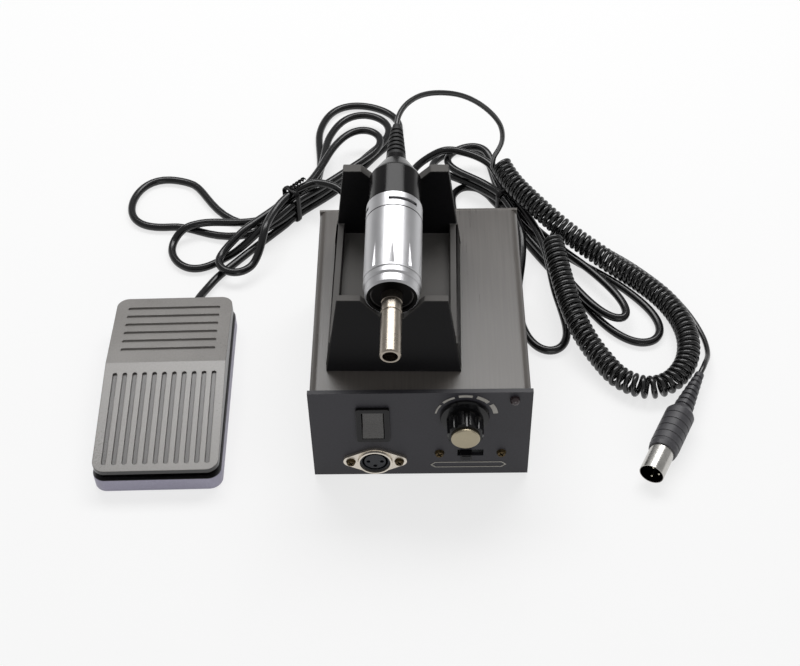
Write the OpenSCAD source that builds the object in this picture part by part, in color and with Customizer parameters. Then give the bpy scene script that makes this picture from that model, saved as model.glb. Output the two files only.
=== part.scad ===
// Dental micromotor set: control unit with cradle, motor handpiece, foot pedal and their cords.
// Millimetres, +Z up, viewer looks along +Y, floor at z = 0.

/* [Control unit] */
// Width of the front panel
unit_width = 112; // [108:1:114]
// Depth from front panel to rear panel
unit_depth = 137; // [134:1:142]
// Height of the case over its feet, feet included
unit_height = 66; // [64:1:70]
// Thickness of the sheet metal
sheet = 1.2; // [1:0.1:1.6]
// Height of the rubber feet
foot_height = 3; // [2.5:0.5:5]
// Diameter of the speed knob skirt
knob_diameter = 24.9; // [22:0.1:25.5]
// Swing of the power rocker
rocker_swing = 24; // [18:1:26]

/* [Cradle] */
// Width of the cradle at its foot
cradle_width = 68.6; // [64:0.2:72]
// Height of the front wall over the case
cradle_front = 41; // [38:0.5:42]
// Height of the rear wall over the case
cradle_rear = 52.5; // [48:0.5:53]

/* [Handpiece motor] */
// Diameter of the motor barrel
barrel_diameter = 28.5; // [27:0.1:29]
// Length of the motor barrel
barrel_length = 57; // [54:0.5:58]
// Length of the rear cap
cap_length = 36; // [34:0.5:38]
// Outside diameter of the nose spigot
spigot_diameter = 10.3; // [9.8:0.1:10.6]
// Length of the nose spigot
spigot_length = 35; // [30:0.5:36]
// Nose-down lean of the motor in its cradle
motor_lean = 6; // [5:0.5:7]

/* [Foot pedal] */
// Width of the pedal
pedal_width = 67.5; // [62:0.5:68]
// Length of the pedal
pedal_length = 124; // [118:1:126]
// Height of the crease across the treadle
pedal_ridge = 23; // [22:0.5:26]

/* [Cords] */
// Diameter of the mains and pedal leads
cord_diameter = 4.8; // [4:0.1:4.8]
// Diameter of the wire of the curly cord
curl_wire = 3; // [2.6:0.1:3.1]
// Outside diameter of the curly cord
curl_diameter = 13.2; // [12:0.1:13.4]
// Gap between two curls, kept on the inside of each bend
curl_space = 0.65; // [0.65:0.05:0.9]

/* [Hidden] */
$fn = 48;
tiny = 0.01;
cut = 1;
slip = 0.3;
console_x = 58.5;
console_y = -65;
panel_depth = 2.5;
panel_drop = 1.8;
rear_depth = 1.5;
cover_width = unit_width - 1.4;
cover_bend = 4.5;
inner_width = cover_width - 2 * sheet;
floor_top = foot_height + sheet;
cover_back = unit_depth - rear_depth;

rocker_spot = [32 - unit_width / 2, unit_height - 23.3];
bezel_size = [17, 25.5];
rocker_width = 10.8;
rocker_axis_y = 2.5;
socket_spot = [32.2 - unit_width / 2, 13.6];
ear_spread = 12.6;
knob_spot = [unit_width / 2 - 33.7, unit_height - 17.7];
slide_spot = [unit_width / 2 - 30.3, 18.6];
slide_travel = 4.6;
lamp_spot = [unit_width / 2 - 9, unit_height - 5.4];
knob_rest = 130;

motor_turn = -1.1;
motor_face = [-13.07, 22, unit_height + 44.7];
barrel_radius = barrel_diameter / 2;
ring_length = 9.5;
cap_radius = barrel_radius - 0.95;
nose_radius = barrel_radius - 0.9;
cap_taper = 16;
boot_length = 24;
motor_rear = barrel_length + cap_length;
motor_end = motor_rear + boot_length;
spigot_radius = spigot_diameter / 2;

cradle_spot = [-13.2, 15.2, unit_height];
front_lean = 12;
front_wall = 5;
rear_wall = 6;
rear_start = 91.3;
tray_height = 9;
rail_height = 7;

pedal_spot = [-80.6, -11.5];
pedal_turn = 1;
pedal_corner = 7;
pedal_base_height = 9;
treadle_bottom = 13;
treadle_front = 15.6;
treadle_back = 19;
ridge_y = 0.065 * pedal_length;
treadle_skin = 2.4;
pivot = [0.36 * pedal_length, 14.4];
button_y = 4;
spring_y = -32;
bush_x = 9.8;
bush_reach = 6;

cord_radius = cord_diameter / 2;
stack = cord_diameter + 0.8;
tie_lift = 1.4;

module at_console() translate([console_x, console_y, 0]) children();
module on_panel(spot) at_console() translate([spot[0], 0, spot[1]]) children();
module facing(spot) on_panel(spot) rotate([90, 0, 0]) children();
module at_cradle() at_console() translate(cradle_spot) rotate([0, 0, motor_turn]) children();
module at_motor()
  at_console()
  translate(motor_face)
  rotate([0, 0, motor_turn])
  rotate([motor_lean, 0, 0])
  rotate([-90, 0, 0])
  children();
module at_pedal() translate([pedal_spot[0], pedal_spot[1], 0]) rotate([0, 0, pedal_turn]) children();

module block(x0, x1, y0, y1, z0, z1) translate([x0, y0, z0]) cube([x1 - x0, y1 - y0, z1 - z0]);
module ring(outer, inner, low, high)
  translate([0, 0, low])
  difference() {
    cylinder(r = outer, h = high - low);
    translate([0, 0, -cut]) cylinder(r = inner, h = high - low + 2 * cut);
  }
module soft_square(size, r) {
  square([size[0], size[1] - 2 * r], center = true);
  square([size[0] - 2 * r, size[1]], center = true);
  for (sx = [-1, 1], sy = [-1, 1])
    translate([sx * (size[0] / 2 - r), sy * (size[1] / 2 - r)]) circle(r);
}

function unit(v) = v / norm(v);
function smooth(t) = let (u = max(0, min(1, t))) u * u * (3 - 2 * u);
function spline(a, b, c, d, t) =
  0.5 * (2 * b + (c - a) * t + (2 * a - 5 * b + 4 * c - d) * t * t + (3 * b - a - 3 * c + d) * t * t * t);
function grounded(p, r) = [for (q = p) [q[0], q[1], max(q[2], r)]];
function through(p, n) =
  let (e = concat([2 * p[0] - p[1]], p, [2 * p[len(p) - 1] - p[len(p) - 2]]))
  concat([for (i = [1:len(e) - 3], k = [0:n - 1]) spline(e[i - 1], e[i], e[i + 1], e[i + 2], k / n)],
    [p[len(p) - 1]]);
function tangents(p) =
  let (m = len(p) - 1) [for (i = [0:m]) unit(p[min(i + 1, m)] - p[max(i - 1, 0)])];
function normals(t) =
  let (m = len(t), n0 = unit(cross(t[0], abs(t[0][2]) < 0.9 ? [0, 0, 1] : [1, 0, 0])))
  [for (i = 0, n = n0; i < m; n = i + 1 < m ? unit(n - (n * t[i + 1]) * t[i + 1]) : n, i = i + 1) n];
function mileage(p) =
  [for (i = 0, s = 0; i < len(p); s = i + 1 < len(p) ? s + norm(p[i + 1] - p[i]) : s, i = i + 1) s];
function least_gap(p, d, skip) =
  min([for (i = [0:len(p) - 1 - skip]) min([for (j = [i + skip:len(p) - 1]) norm(p[i] - p[j])])]) - d;

module tube(p, r, sides) {
  t = tangents(p);
  n = normals(t);
  m = len(p);
  rim = [for (i = [0:m - 1], k = [0:sides - 1])
    let (a = 360 * k / sides) p[i] + r * (cos(a) * n[i] + sin(a) * cross(t[i], n[i]))];
  wall = [for (i = [0:m - 2], k = [0:sides - 1], h = [0, 1])
    let (a = i * sides + k, b = i * sides + (k + 1) % sides)
    h == 0 ? [a, a + sides, b] : [b, a + sides, b + sides]];
  caps = [for (k = [1:sides - 2]) [0, k, k + 1]];
  ends = [for (k = [1:sides - 2]) [(m - 1) * sides, (m - 1) * sides + k + 1, (m - 1) * sides + k]];
  polyhedron(rim, concat(wall, caps, ends));
}

module arch(w, top, r) {
  translate([-w / 2, foot_height]) square([w, top - r - foot_height]);
  translate([-w / 2 + r, foot_height]) square([w - 2 * r, top - foot_height]);
  for (s = [-1, 1]) translate([s * (w / 2 - r), top - r]) circle(r);
}
side_screws = [for (s = [-1, 1], y = [24, unit_depth - 13]) [s, y, floor_top + 7]];
module side_hole(s, y, z, r, x0, x1)
  translate([s * x0, y, z]) rotate([0, s * 90, 0]) cylinder(r = r, h = x1 - x0);

module base_chassis() color("#8e9092") at_console() {
  lip = 14;
  tab = 8;
  half = inner_width / 2;
  difference() {
    union() {
      block(-half, half, panel_depth, cover_back, foot_height, floor_top);
      for (s = [-1, 1], y = [panel_depth, cover_back - sheet])
        translate([s * (half - tab / 2), y + sheet / 2, floor_top + lip / 2 - tiny])
          cube([tab, sheet, lip + tiny], center = true);
      for (s = [-1, 1])
        translate([s * (half - sheet / 2), unit_depth / 2, floor_top + lip / 2 - tiny])
          cube([sheet, unit_depth - 8, lip + tiny], center = true);
    }
    for (p = side_screws) side_hole(p[0], p[1], p[2], 1.5, half - 3 * sheet, half + cut);
  }
}
module top_cover() color("#6f6c68") at_console() difference() {
  translate([0, cover_back, 0]) rotate([90, 0, 0]) linear_extrude(cover_back - panel_depth) difference() {
    arch(cover_width, unit_height - 0.7, cover_bend);
    translate([0, -sheet]) arch(inner_width, unit_height - 0.7, cover_bend - sheet);
  }
  for (p = side_screws) side_hole(p[0], p[1], p[2], 1.5, inner_width / 2 - cut, cover_width / 2 + cut);
}
screw_spots = concat(
  [for (s = [-1, 1]) [socket_spot[0] + s * ear_spread, socket_spot[1], 1.4]],
  [for (s = [-1, 1]) [slide_spot[0] + s * 16, slide_spot[1], 0]]);
module front_panel() color("#3b3a3f") at_console() difference() {
  block(-unit_width / 2, unit_width / 2, 0, panel_depth, foot_height - panel_drop, unit_height);
  translate([rocker_spot[0], 0, rocker_spot[1]]) cube([14.2, 20, 23.6], center = true);
  translate([socket_spot[0], -cut, socket_spot[1]]) rotate([-90, 0, 0]) cylinder(r = 8.9, h = 9);
  translate([knob_spot[0], -cut, knob_spot[1]]) rotate([-90, 0, 0]) cylinder(r = 3.55, h = 9);
  translate([slide_spot[0], 0, slide_spot[1]]) cube([13.5, 20, 5], center = true);
  translate([lamp_spot[0], -cut, lamp_spot[1]]) rotate([-90, 0, 0]) cylinder(r = 2.55, h = 9);
  for (p = screw_spots)
    translate([p[0], -cut, p[1]]) rotate([-90, 0, 0]) cylinder(r = 1.5, h = 9);
}
fuse_spot = [-5, 40];
mains_spot = [30, 14];
pedal_port = [-40, 17];
module rear_panel() color("#6f6c68") at_console() difference() {
  block(-cover_width / 2, cover_width / 2, cover_back, unit_depth, foot_height, unit_height - 0.7);
  for (p = [[fuse_spot, 6.1], [mains_spot, 5.1], [pedal_port, 4.6]])
    translate([p[0][0], cover_back - cut, p[0][1]]) rotate([-90, 0, 0]) cylinder(r = p[1], h = 9);
}
module rubber_feet() color("#1d1d1e") at_console()
  for (s = [-1, 1], y = [22, unit_depth - 19])
    translate([s * 42, y, 0]) cylinder(r1 = 5.6, r2 = 6.4, h = foot_height);
module cover_screws() color("#a8905c") at_console()
  for (p = side_screws)
    translate([p[0] * cover_width / 2, p[1], p[2]]) rotate([0, p[0] * 90, 0]) difference() {
      union() {
        cylinder(r1 = 2.9, r2 = 2.1, h = 1.7);
        translate([0, 0, -5]) cylinder(r = 1.4, h = 5 + tiny);
      }
      translate([0, 0, 1.7]) cube([0.8, 4, 1.6], center = true);
      translate([0, 0, 1.7]) cube([4, 0.8, 1.6], center = true);
    }

lean_mix = front_lean + motor_lean;
face_v = motor_face[1] - cradle_spot[1];
front_axis = (motor_face[2] - unit_height - face_v * tan(motor_lean))
  / (1 - tan(front_lean) * tan(motor_lean)) / cos(front_lean);
front_seat = nose_radius + slip;
front_apex = front_axis - sqrt(pow(front_seat, 2) + pow(front_seat / cos(lean_mix), 2));
rear_axis = motor_face[2] - unit_height + (rear_start - face_v) * tan(motor_lean);
rear_seat = cap_radius + slip;
rear_apex = rear_axis - sqrt(pow(rear_seat, 2) + pow(rear_seat / cos(motor_lean), 2));
notch_half = 5.5;
module saddle(height, top_half, apex) {
  foot_half = cradle_width / 2;
  difference() {
    polygon([[-foot_half, -3], [foot_half, -3], [top_half, height], [-top_half, height]]);
    polygon([[-notch_half, apex + notch_half], [notch_half, apex + notch_half],
      [height + cut - apex, height + cut], [apex - height - cut, height + cut]]);
  }
}
module cradle() color("#1f1e20") at_cradle() difference() {
  foot_half = cradle_width / 2;
  rail_top = tray_height + rail_height;
  union() {
    rotate([-front_lean, 0, 0]) translate([0, front_wall, 0]) rotate([90, 0, 0])
      linear_extrude(front_wall) saddle(cradle_front / cos(front_lean), foot_half - 7.1, front_apex);
    translate([0, rear_start + rear_wall, 0]) rotate([90, 0, 0])
      linear_extrude(rear_wall) saddle(cradle_rear, foot_half - 6.8, rear_apex);
    translate([0, rear_start + 2, 0]) rotate([90, 0, 0]) linear_extrude(rear_start - 2)
      polygon([[-foot_half, -3], [foot_half, -3], [foot_half - 2.2, rail_top], [foot_half - 6, rail_top],
        [foot_half - 6, tray_height], [6 - foot_half, tray_height], [6 - foot_half, rail_top],
        [2.2 - foot_half, rail_top]]);
  }
  block(-60, 60, -20, 140, -30, -0.7);
}

module rocker_housing() color("#1b1b1d") facing(rocker_spot) difference() {
  union() {
    linear_extrude(1.8) soft_square(bezel_size, 1.4);
    translate([0, 0, -7]) cube([14, 23.4, 14 + tiny], center = true);
  }
  translate([0, 0, -4]) cube([11.4, 20, 17], center = true);
  translate([0, 0, -rocker_axis_y]) rotate([0, 90, 0]) cylinder(r = 1.25, h = 30, center = true);
}
module power_rocker() color("#4c4b4e") facing(rocker_spot) translate([0, 0, -rocker_axis_y])
  rotate([-rocker_swing / 2, 0, 0]) {
    half = 8.4;
    rotate([90, 0, 90]) linear_extrude(rocker_width, center = true)
      polygon([[-half, 4.7], [0, 2.9], [half, 4.7], [half - 0.7, -3.6], [0.7 - half, -3.6]]);
    rotate([0, 90, 0]) cylinder(r = 1.2, h = 13.6, center = true);
  }

ear_tilt = asin((9.6 - 3.9) / ear_spread);
module socket_shell() color("#c9c3b4") facing(socket_spot) difference() {
  union() {
    linear_extrude(1.4) {
      circle(9.6);
      for (s = [-1, 1]) translate([s * ear_spread, 0]) circle(3.9);
      for (s = [-1, 1])
        polygon([for (q = [[9.6, 0, 1], [3.9, 1, 1], [3.9, 1, -1], [9.6, 0, -1]])
          [s * (q[1] * ear_spread + q[0] * sin(ear_tilt)), q[2] * q[0] * cos(ear_tilt)]]);
    }
    cylinder(r1 = 9.4, r2 = 8.9, h = 2.6);
    translate([0, 0, -13]) cylinder(r = 8.8, h = 13 + tiny);
  }
  translate([0, 0, -20]) cylinder(r = 8, h = 40);
  for (s = [-1, 1]) translate([s * ear_spread, 0, -cut]) cylinder(r = 1.5, h = 5);
}
pin_ring = 3.5;
pin_angles = [0, 180, 270];
module pins_at() for (a = pin_angles) translate([pin_ring * cos(a), pin_ring * sin(a), 0]) children();
module socket_insert() color("#141416") facing(socket_spot) difference() {
  translate([0, 0, -13]) cylinder(r = 7.95, h = 14.4);
  ring(6.8, 5.6, -11, 5);
  pins_at() translate([0, 0, -20]) cylinder(r = 1.05, h = 30);
}
module socket_contacts() color("#b8963f") facing(socket_spot) pins_at() difference() {
  translate([0, 0, -17]) cylinder(r = 1, h = 15);
  translate([0, 0, -9]) cylinder(r = 0.75, h = 20);
}
module panel_screws() color("#a8905c") for (p = screw_spots) facing(p) translate([0, 0, p[2]]) difference() {
  union() {
    cylinder(r1 = 2.6, r2 = 2, h = 1.5);
    translate([0, 0, -6]) cylinder(r = 1.4, h = 6 + tiny);
  }
  rotate([0, 0, 30]) translate([0, 0, 1.5]) cube([0.7, 3.4, 1.4], center = true);
  rotate([0, 0, 120]) translate([0, 0, 1.5]) cube([0.7, 3.4, 1.4], center = true);
}

knob_radius = knob_diameter / 2;
grip_radius = knob_radius - 3.1;
knob_flutes = 10;
module speed_knob() color("#17171a") facing(knob_spot) rotate([0, 0, -knob_rest]) difference() {
  union() {
    rotate_extrude() polygon([[0, 0.8], [knob_radius - 0.3, 0.8], [knob_radius, 1.2],
      [knob_radius - 0.4, 2.4], [grip_radius, 2.8], [grip_radius - 0.3, 12.8], [grip_radius - 1, 13.8],
      [0, 13.8]]);
    block(-0.8, 0.8, 6, knob_radius - 0.6, 1, 4.4);
  }
  for (k = [0:knob_flutes - 1]) rotate([0, 0, 360 / knob_flutes * k])
    translate([grip_radius + 1.1, 0, 4]) cylinder(r = 2, h = 12, $fn = 24);
  translate([0, 0, 12.9]) cylinder(r = 7.25, h = 5);
  translate([0, 0, -cut]) cylinder(r = 3.02, h = 12);
  translate([0, 0, -cut]) cylinder(r = 5, h = 2.4);
}
module knob_cap() color("#c9bd9c") facing(knob_spot)
  rotate_extrude() polygon([[0, 12.9], [7.2, 12.9], [7.2, 15], [6.6, 15.5], [0, 15.6]]);
module speed_pot() color("#9a9c9e") facing(knob_spot) difference() {
  union() {
    translate([0, 0, -12.5]) cylinder(r = 8.3, h = 10);
    translate([0, 0, -4]) cylinder(r = 3.5, h = 4.4);
    for (k = [-1:1]) translate([k * 5, -10, -8]) cube([1.4, 6, 0.8], center = true);
  }
  translate([0, 0, -10.5]) cylinder(r = 3.05, h = 20);
}
module pot_shaft() color("#c4c6c8") facing(knob_spot) translate([0, 0, -10.2]) cylinder(r = 3, h = 21);
module direction_switch() color("#8f9193") facing(slide_spot) difference() {
  union() {
    translate([0, 0, -panel_depth - 0.5]) cube([39, 9, 1], center = true);
    translate([0, 0, -panel_depth - 5]) cube([21, 8, 8], center = true);
  }
  for (s = [-1, 1]) translate([s * 16, 0, -9]) cylinder(r = 1.5, h = 9);
  translate([0, 0, -panel_depth - 1]) cube([13.5, 4.6, 5], center = true);
}
module direction_slider() color("#1b1b1d") facing(slide_spot)
  translate([-slide_travel / 2, 0, 0]) {
    translate([0, 0, -0.6]) cube([6, 4, 8], center = true);
    translate([0, 0, 3.4]) cube([4.6, 3.2, 1.2], center = true);
  }
module indicator_lamp() color("#b5322c") facing(lamp_spot) {
  translate([0, 0, -7]) cylinder(r = 2.5, h = 7.8);
  translate([0, 0, 0.8]) sphere(2.5);
  translate([0, 0, -4.5]) cylinder(r = 3, h = 1.9);
}
module panel_marks() color("#c9c7c2") {
  facing(knob_spot) for (k = [0:4]) rotate([0, 0, 145 - 34.5 * k])
    rotate_extrude(angle = 26) translate([14.4, 0]) square([0.8 + 0.4 * k, 0.2]);
  facing([slide_spot[0] - 0.9, 8.9]) linear_extrude(0.2) difference() {
    polygon([[-19.8, 0], [-17.4, 2.2], [17.4, 2.2], [19.8, 0], [17.4, -2.2], [-17.4, -2.2]]);
    polygon([[-19, 0], [-17.1, 1.7], [17.1, 1.7], [19, 0], [17.1, -1.7], [-17.1, -1.7]]);
  }
}
board_low = floor_top + 6;
core_right = inner_width / 2 - 10.1;
core_left = core_right - 36;
core_rear = unit_depth - 21;
board_left = 4.1 - inner_width / 2;
board_right = core_left - 2;
board_rear = unit_depth - 25;
module control_board() color("#2f6b3f") at_console() {
  block(board_left, board_right, 34, board_rear, board_low, board_low + 1.6);
  for (x = [board_left + 4, board_right - 4], y = [38, board_rear - 4])
    translate([x, y, floor_top]) cylinder(r = 2.4, h = 6 + tiny);
  for (y = [54, 70]) translate([board_left + 14, y, board_low + 1.5]) cylinder(r = 5, h = 18);
  block(board_right - 24, board_right - 10, 52, 88, board_low + 1.5, board_low + 20);
  block(board_left + 4, board_left + 22, board_rear - 24, board_rear - 8, board_low + 1.5, board_low + 12);
}
core_low = floor_top + 2;
module transformer_core() color("#55585b") at_console() difference() {
  block(core_left, core_right, core_rear - 50, core_rear, core_low - 2, core_low + 36);
  for (y = [core_rear - 42, core_rear - 17])
    block(core_left - cut, core_right + cut, y, y + 9, core_low + 8, core_low + 28);
}
module transformer_coil() color("#a5672e") at_console() difference() {
  block(core_left - 4, core_right + 4, core_rear - 41.8, core_rear - 8.2, core_low + 8, core_low + 27.8);
  block(core_left - 0.2, core_right + 0.2, core_rear - 33.2, core_rear - 16.8, 0, 60);
}
module fuse_holder() color("#1b1b1d") at_console() translate([fuse_spot[0], unit_depth, fuse_spot[1]])
  rotate([-90, 0, 0]) {
    difference() {
      union() {
        cylinder(r = 7.4, h = 2);
        cylinder(r1 = 6.2, r2 = 5.6, h = 8.6);
      }
      translate([0, 0, 8.6]) cube([1.4, 9, 2.4], center = true);
    }
    translate([0, 0, -26]) cylinder(r = 6, h = 26 + tiny);
  }
module gland(spot, inner, reach) at_console() translate([spot[0], unit_depth, spot[1]]) rotate([-90, 0, 0])
  rotate_extrude() polygon(concat(
    [[0, -5], [inner, -5], [inner, 0], [inner + 1.6, 0], [inner + 1.6, 2.4]],
    [for (k = [0:4]) let (z = 2.4 + (reach - 2.4) * k / 5, r = inner - (inner - cord_radius - 0.9) * k / 5)
      for (q = [[r, z + 0.2], [r, z + (reach - 2.4) / 9], [r - 0.7, z + (reach - 2.4) / 8],
        [r - 0.7, z + (reach - 2.4) / 5]]) q],
    [[0, reach]]));
mains_reach = 22;
pedal_reach = 12;
module mains_gland() color("#19191b") gland(mains_spot, 5, mains_reach);
module pedal_gland() color("#19191b") gland(pedal_port, 4.5, pedal_reach);

module motor_barrel() color("#c8c9cb") at_motor() difference() {
  back = barrel_length - ring_length;
  rotate_extrude() polygon([[5.2, 1.6], [10.4, 1.6], [10.9, 0], [nose_radius - 0.9, 0], [nose_radius, 1],
    [nose_radius, 5.2], [barrel_radius, 6.2], [barrel_radius, 8.6], [barrel_radius - 0.5, 8.9],
    [barrel_radius - 0.5, 9.6], [barrel_radius, 9.9], [barrel_radius, back], [12.4, back], [12.4, 5],
    [5.2, 5]]);
  for (k = [0:9]) rotate([0, 0, 36 * k + 18]) translate([barrel_radius - 0.7, 0, 10.8]) rotate([0, 2.8, 0])
    linear_extrude(24) polygon([[0, 0], [1.8, -4.2], [1.8, 4.2]]);
  for (s = [-1, 1]) rotate([0, 0, 90 + s * 40]) translate([8, 0, 0]) cylinder(r = 0.9, h = 2.8, $fn = 24);
}
module end_ring() color("#d6d7d9") at_motor() difference() {
  low = barrel_length - ring_length;
  ring(barrel_radius, 12.4, low, barrel_length);
  for (a = [-217, -100]) rotate([0, 0, a]) rotate_extrude(angle = 64)
    translate([barrel_radius - 1.4, low + 4]) square([3, 2]);
  ring(barrel_radius + cut, barrel_radius - 0.35, low - cut, low + 0.7);
}
module rear_cap() color("#1b1b1d") at_motor() rotate_extrude() difference() {
  shoulder = motor_rear - cap_taper;
  polygon([[0, barrel_length], [cap_radius + 0.35, barrel_length], [cap_radius + 0.35, barrel_length + 2.4],
    [cap_radius, barrel_length + 2.6], [cap_radius, shoulder], [cap_radius - 0.7, shoulder + 1.6],
    [7.2, motor_rear - 5], [5.6, motor_rear - 3.4], [5.3, motor_rear], [0, motor_rear]]);
  square([4.55, barrel_length + 5]);
  polygon([[0, barrel_length + 8], [cap_radius - 2, barrel_length + 8], [cap_radius - 2, shoulder - 1],
    [3.9, motor_rear - 8], [0, motor_rear - 8]]);
  square([3.9, 200]);
}
module cord_boot() color("#161618") at_motor() rotate_extrude() {
  ribs = 6;
  rise = (boot_length - 5) / ribs;
  low = motor_rear + 2;
  polygon(concat([[0, motor_rear - 6], [3.85, motor_rear - 6], [3.85, motor_rear], [5.2, motor_rear],
    [5.1, low]],
    [for (k = [0:ribs - 1]) let (z = low + rise * k, r = 5 - 1.9 * k / ribs)
      for (q = [[r - 0.8, z + 0.1], [r - 0.8, z + rise * 0.35], [r, z + rise * 0.45],
        [r - 0.1, z + rise]]) q],
    [[2.6, motor_end - 2.5], [2.3, motor_end], [0, motor_end]]));
}
module nose_spigot() color("#b9b4a8") at_motor() rotate_extrude() {
  r = spigot_radius;
  tip = -spigot_length;
  polygon([[3.7, tip], [r - 0.5, tip], [r, tip + 0.7], [r, -10.6], [r - 0.4, -10.4], [r - 0.4, -9.4],
    [r, -9.2], [r, -4.4], [r - 0.5, -4.2], [r - 0.5, -3.2], [r, -3], [r, 5], [12.3, 5], [12.3, 10], [4.55, 10],
    [4.55, 6], [2.2, 6], [2.2, -9], [3.7, -10.5]]);
}
stack_low = 14;
stack_high = 38;
module magnets() color("#4a4d50") at_motor() for (a = [20, 200]) rotate([0, 0, a])
  rotate_extrude(angle = 140) translate([10.2, stack_low - 1]) square([2.15, stack_high - stack_low + 2]);
module bearings() color("#aab0b6") at_motor() {
  ring(4.5, 1.54, 6, 10);
  ring(4.5, 1.54, barrel_length + 0.6, barrel_length + 5);
}
module armature() color("#7d4f2a") at_motor() difference() {
  ring(9.7, 1.51, stack_low, stack_high);
  for (k = [0:6]) rotate([0, 0, 360 / 7 * k]) block(6, 12, -0.9, 0.9, stack_low - cut, stack_high + cut);
}
module rotor_shaft() color("#c4c6c8") at_motor() difference() {
  union() {
    translate([0, 0, -20]) cylinder(r = 1.5, h = barrel_length + 24.6);
    translate([0, 0, -24]) cylinder(r = 2.7, h = 5);
  }
  translate([0, 0, -24]) cube([1.6, 8, 5], center = true);
}
brush_mid = barrel_length - 11;
module commutator() color("#b8773a") at_motor() ring(4.4, 1.51, stack_high + 1, barrel_length - 6);
module brushes() color("#3a3a3c") at_motor() for (s = [-1, 1])
  translate([s * 6.6, 0, brush_mid]) cube([3.8, 4, 5], center = true);
module brush_springs() color("#b5b8bb") at_motor() for (s = [-1, 1]) rotate([0, s * 90, 0])
  translate([-s * brush_mid, 0, 0]) for (k = [0:3]) translate([0, 0, 8.55 + k * 0.95])
    rotate_extrude() translate([1.5, 0.4]) circle(0.4, $fn = 16);

half_long = pedal_length / 2;
half_wide = pedal_width / 2;
module pedal_plan(inset)
  soft_square([pedal_width - 2 * inset, pedal_length - 2 * inset], pedal_corner - inset / 2);
pedal_floor = 2.4;
ear_x = half_wide - 7.75;
lug_x = ear_x - 6;
bush_z = 5;
switch_top = 11.5;
button_top = 13;
module pedal_base() color("#b7b4c4") at_pedal() difference() {
  union() {
    difference() {
      linear_extrude(pedal_base_height) pedal_plan(0);
      translate([0, 0, pedal_floor]) linear_extrude(30) pedal_plan(2.4);
    }
    for (s = [-1, 1]) translate([s * ear_x, pivot[0], 0]) {
      block(-2, 2, -4, 4, pedal_floor - tiny, pivot[1]);
      translate([0, 0, pivot[1]]) rotate([0, 90, 0]) cylinder(r = 2.6, h = 4, center = true);
    }
    translate([0, spring_y, pedal_floor - tiny]) cylinder(r = 2.4, h = 5);
  }
  translate([0, pivot[0], pivot[1]]) rotate([0, 90, 0]) cylinder(r = 1.51, h = 80, center = true);
  translate([bush_x, half_long, bush_z]) rotate([90, 0, 0]) cylinder(r = 3.5, h = 12, center = true);
  block(bush_x - 3.5, bush_x + 3.5, half_long - 6, half_long + 6, bush_z, 20);
}
front_slope = atan((pedal_ridge - treadle_front) / (half_long + ridge_y));
back_slope = atan((pedal_ridge - treadle_back) / (half_long - ridge_y));
function treadle_top(y) = y < ridge_y ? pedal_ridge - (ridge_y - y) * tan(front_slope)
  : pedal_ridge - (y - ridge_y) * tan(back_slope);
module side_shape(inset, drop, bottom) rotate([90, 0, 90]) linear_extrude(pedal_width, center = true)
  polygon([[inset - half_long, bottom], [inset - half_long, treadle_top(inset - half_long) - drop],
    [ridge_y, pedal_ridge - drop], [half_long - inset, treadle_top(half_long - inset) - drop],
    [half_long - inset, bottom]]);
module slot(long) {
  square([long - 2.4, 2.4], center = true);
  for (s = [-1, 1]) translate([s * (long / 2 - 1.2), 0]) circle(1.2, $fn = 24);
}
groove = 1.1;
module treadle() color("#a5a19d") at_pedal() difference() {
  union() {
    difference() {
      intersection() {
        side_shape(0, 0, treadle_bottom);
        linear_extrude(60) pedal_plan(0.8);
      }
      intersection() {
        side_shape(3, treadle_skin, treadle_bottom - cut);
        linear_extrude(60) pedal_plan(3.2);
      }
    }
    for (s = [-1, 1]) translate([s * lug_x, 0, 0])
      block(-2, 2, pivot[0] - 3.4, pivot[0] + 3.4, pivot[1] - 3, treadle_top(pivot[0]) - treadle_skin + 0.3);
    translate([0, button_y, button_top + 0.1])
      cylinder(r = 3, h = treadle_top(button_y) - treadle_skin - button_top);
  }
  translate([0, pivot[0], pivot[1]]) rotate([0, 90, 0]) cylinder(r = 1.58, h = 60, center = true);
  front_long = half_long + ridge_y - 11.2;
  front_step = (pedal_width - 13.5) / 10;
  back_step = (half_long - ridge_y - 20) / 5;
  translate([0, ridge_y, pedal_ridge]) rotate([front_slope, 0, 0])
    for (k = [-5:5]) translate([k * front_step, -6.7 - front_long / 2, -groove])
      linear_extrude(4) rotate([0, 0, 90]) slot(front_long);
  translate([0, ridge_y, pedal_ridge]) rotate([-back_slope, 0, 0]) translate([0, 10.6, -groove])
    for (k = [0:5]) translate([0, k * back_step, 0]) linear_extrude(4) slot(pedal_width - 15);
}
module hinge_pin() color("#b9bcc0") at_pedal() translate([0, pivot[0], pivot[1]])
  rotate([0, 90, 0]) cylinder(r = 1.5, h = 2 * ear_x + 4, center = true);
spring_top = treadle_top(spring_y) - treadle_skin - 0.1;
spring_wire = 0.8;
spring_turns = 5;
spring_path = [for (k = [0:spring_turns * 12]) let (a = 30 * k, z = k / (spring_turns * 12))
  [3.8 * cos(a), 3.8 * sin(a), pedal_floor + spring_wire / 2 + 0.05
    + (spring_top - pedal_floor - spring_wire - 0.1) * z]];
module return_spring() color("#c4c6c8") at_pedal() translate([0, spring_y, 0])
  tube(spring_path, spring_wire / 2, 6);
module micro_switch() color("#232326") at_pedal() difference() {
  block(-10, 10, button_y - 3.4, button_y + 3.4, pedal_floor, switch_top);
  translate([0, button_y, switch_top]) cube([3.4, 3.2, 6.6], center = true);
}
module switch_button() color("#c0392b") at_pedal()
  block(-1.4, 1.4, button_y - 1.3, button_y + 1.3, button_top - 3.2, button_top);
module pedal_bush() color("#19191b") at_pedal() translate([bush_x, half_long, bush_z]) rotate([-90, 0, 0])
  rotate_extrude() polygon([[0, -6], [3.45, -6], [3.45, 1], [3.9, 1], [3.9, 2],
    [cord_radius + 0.6, bush_reach], [0, bush_reach]]);

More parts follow.
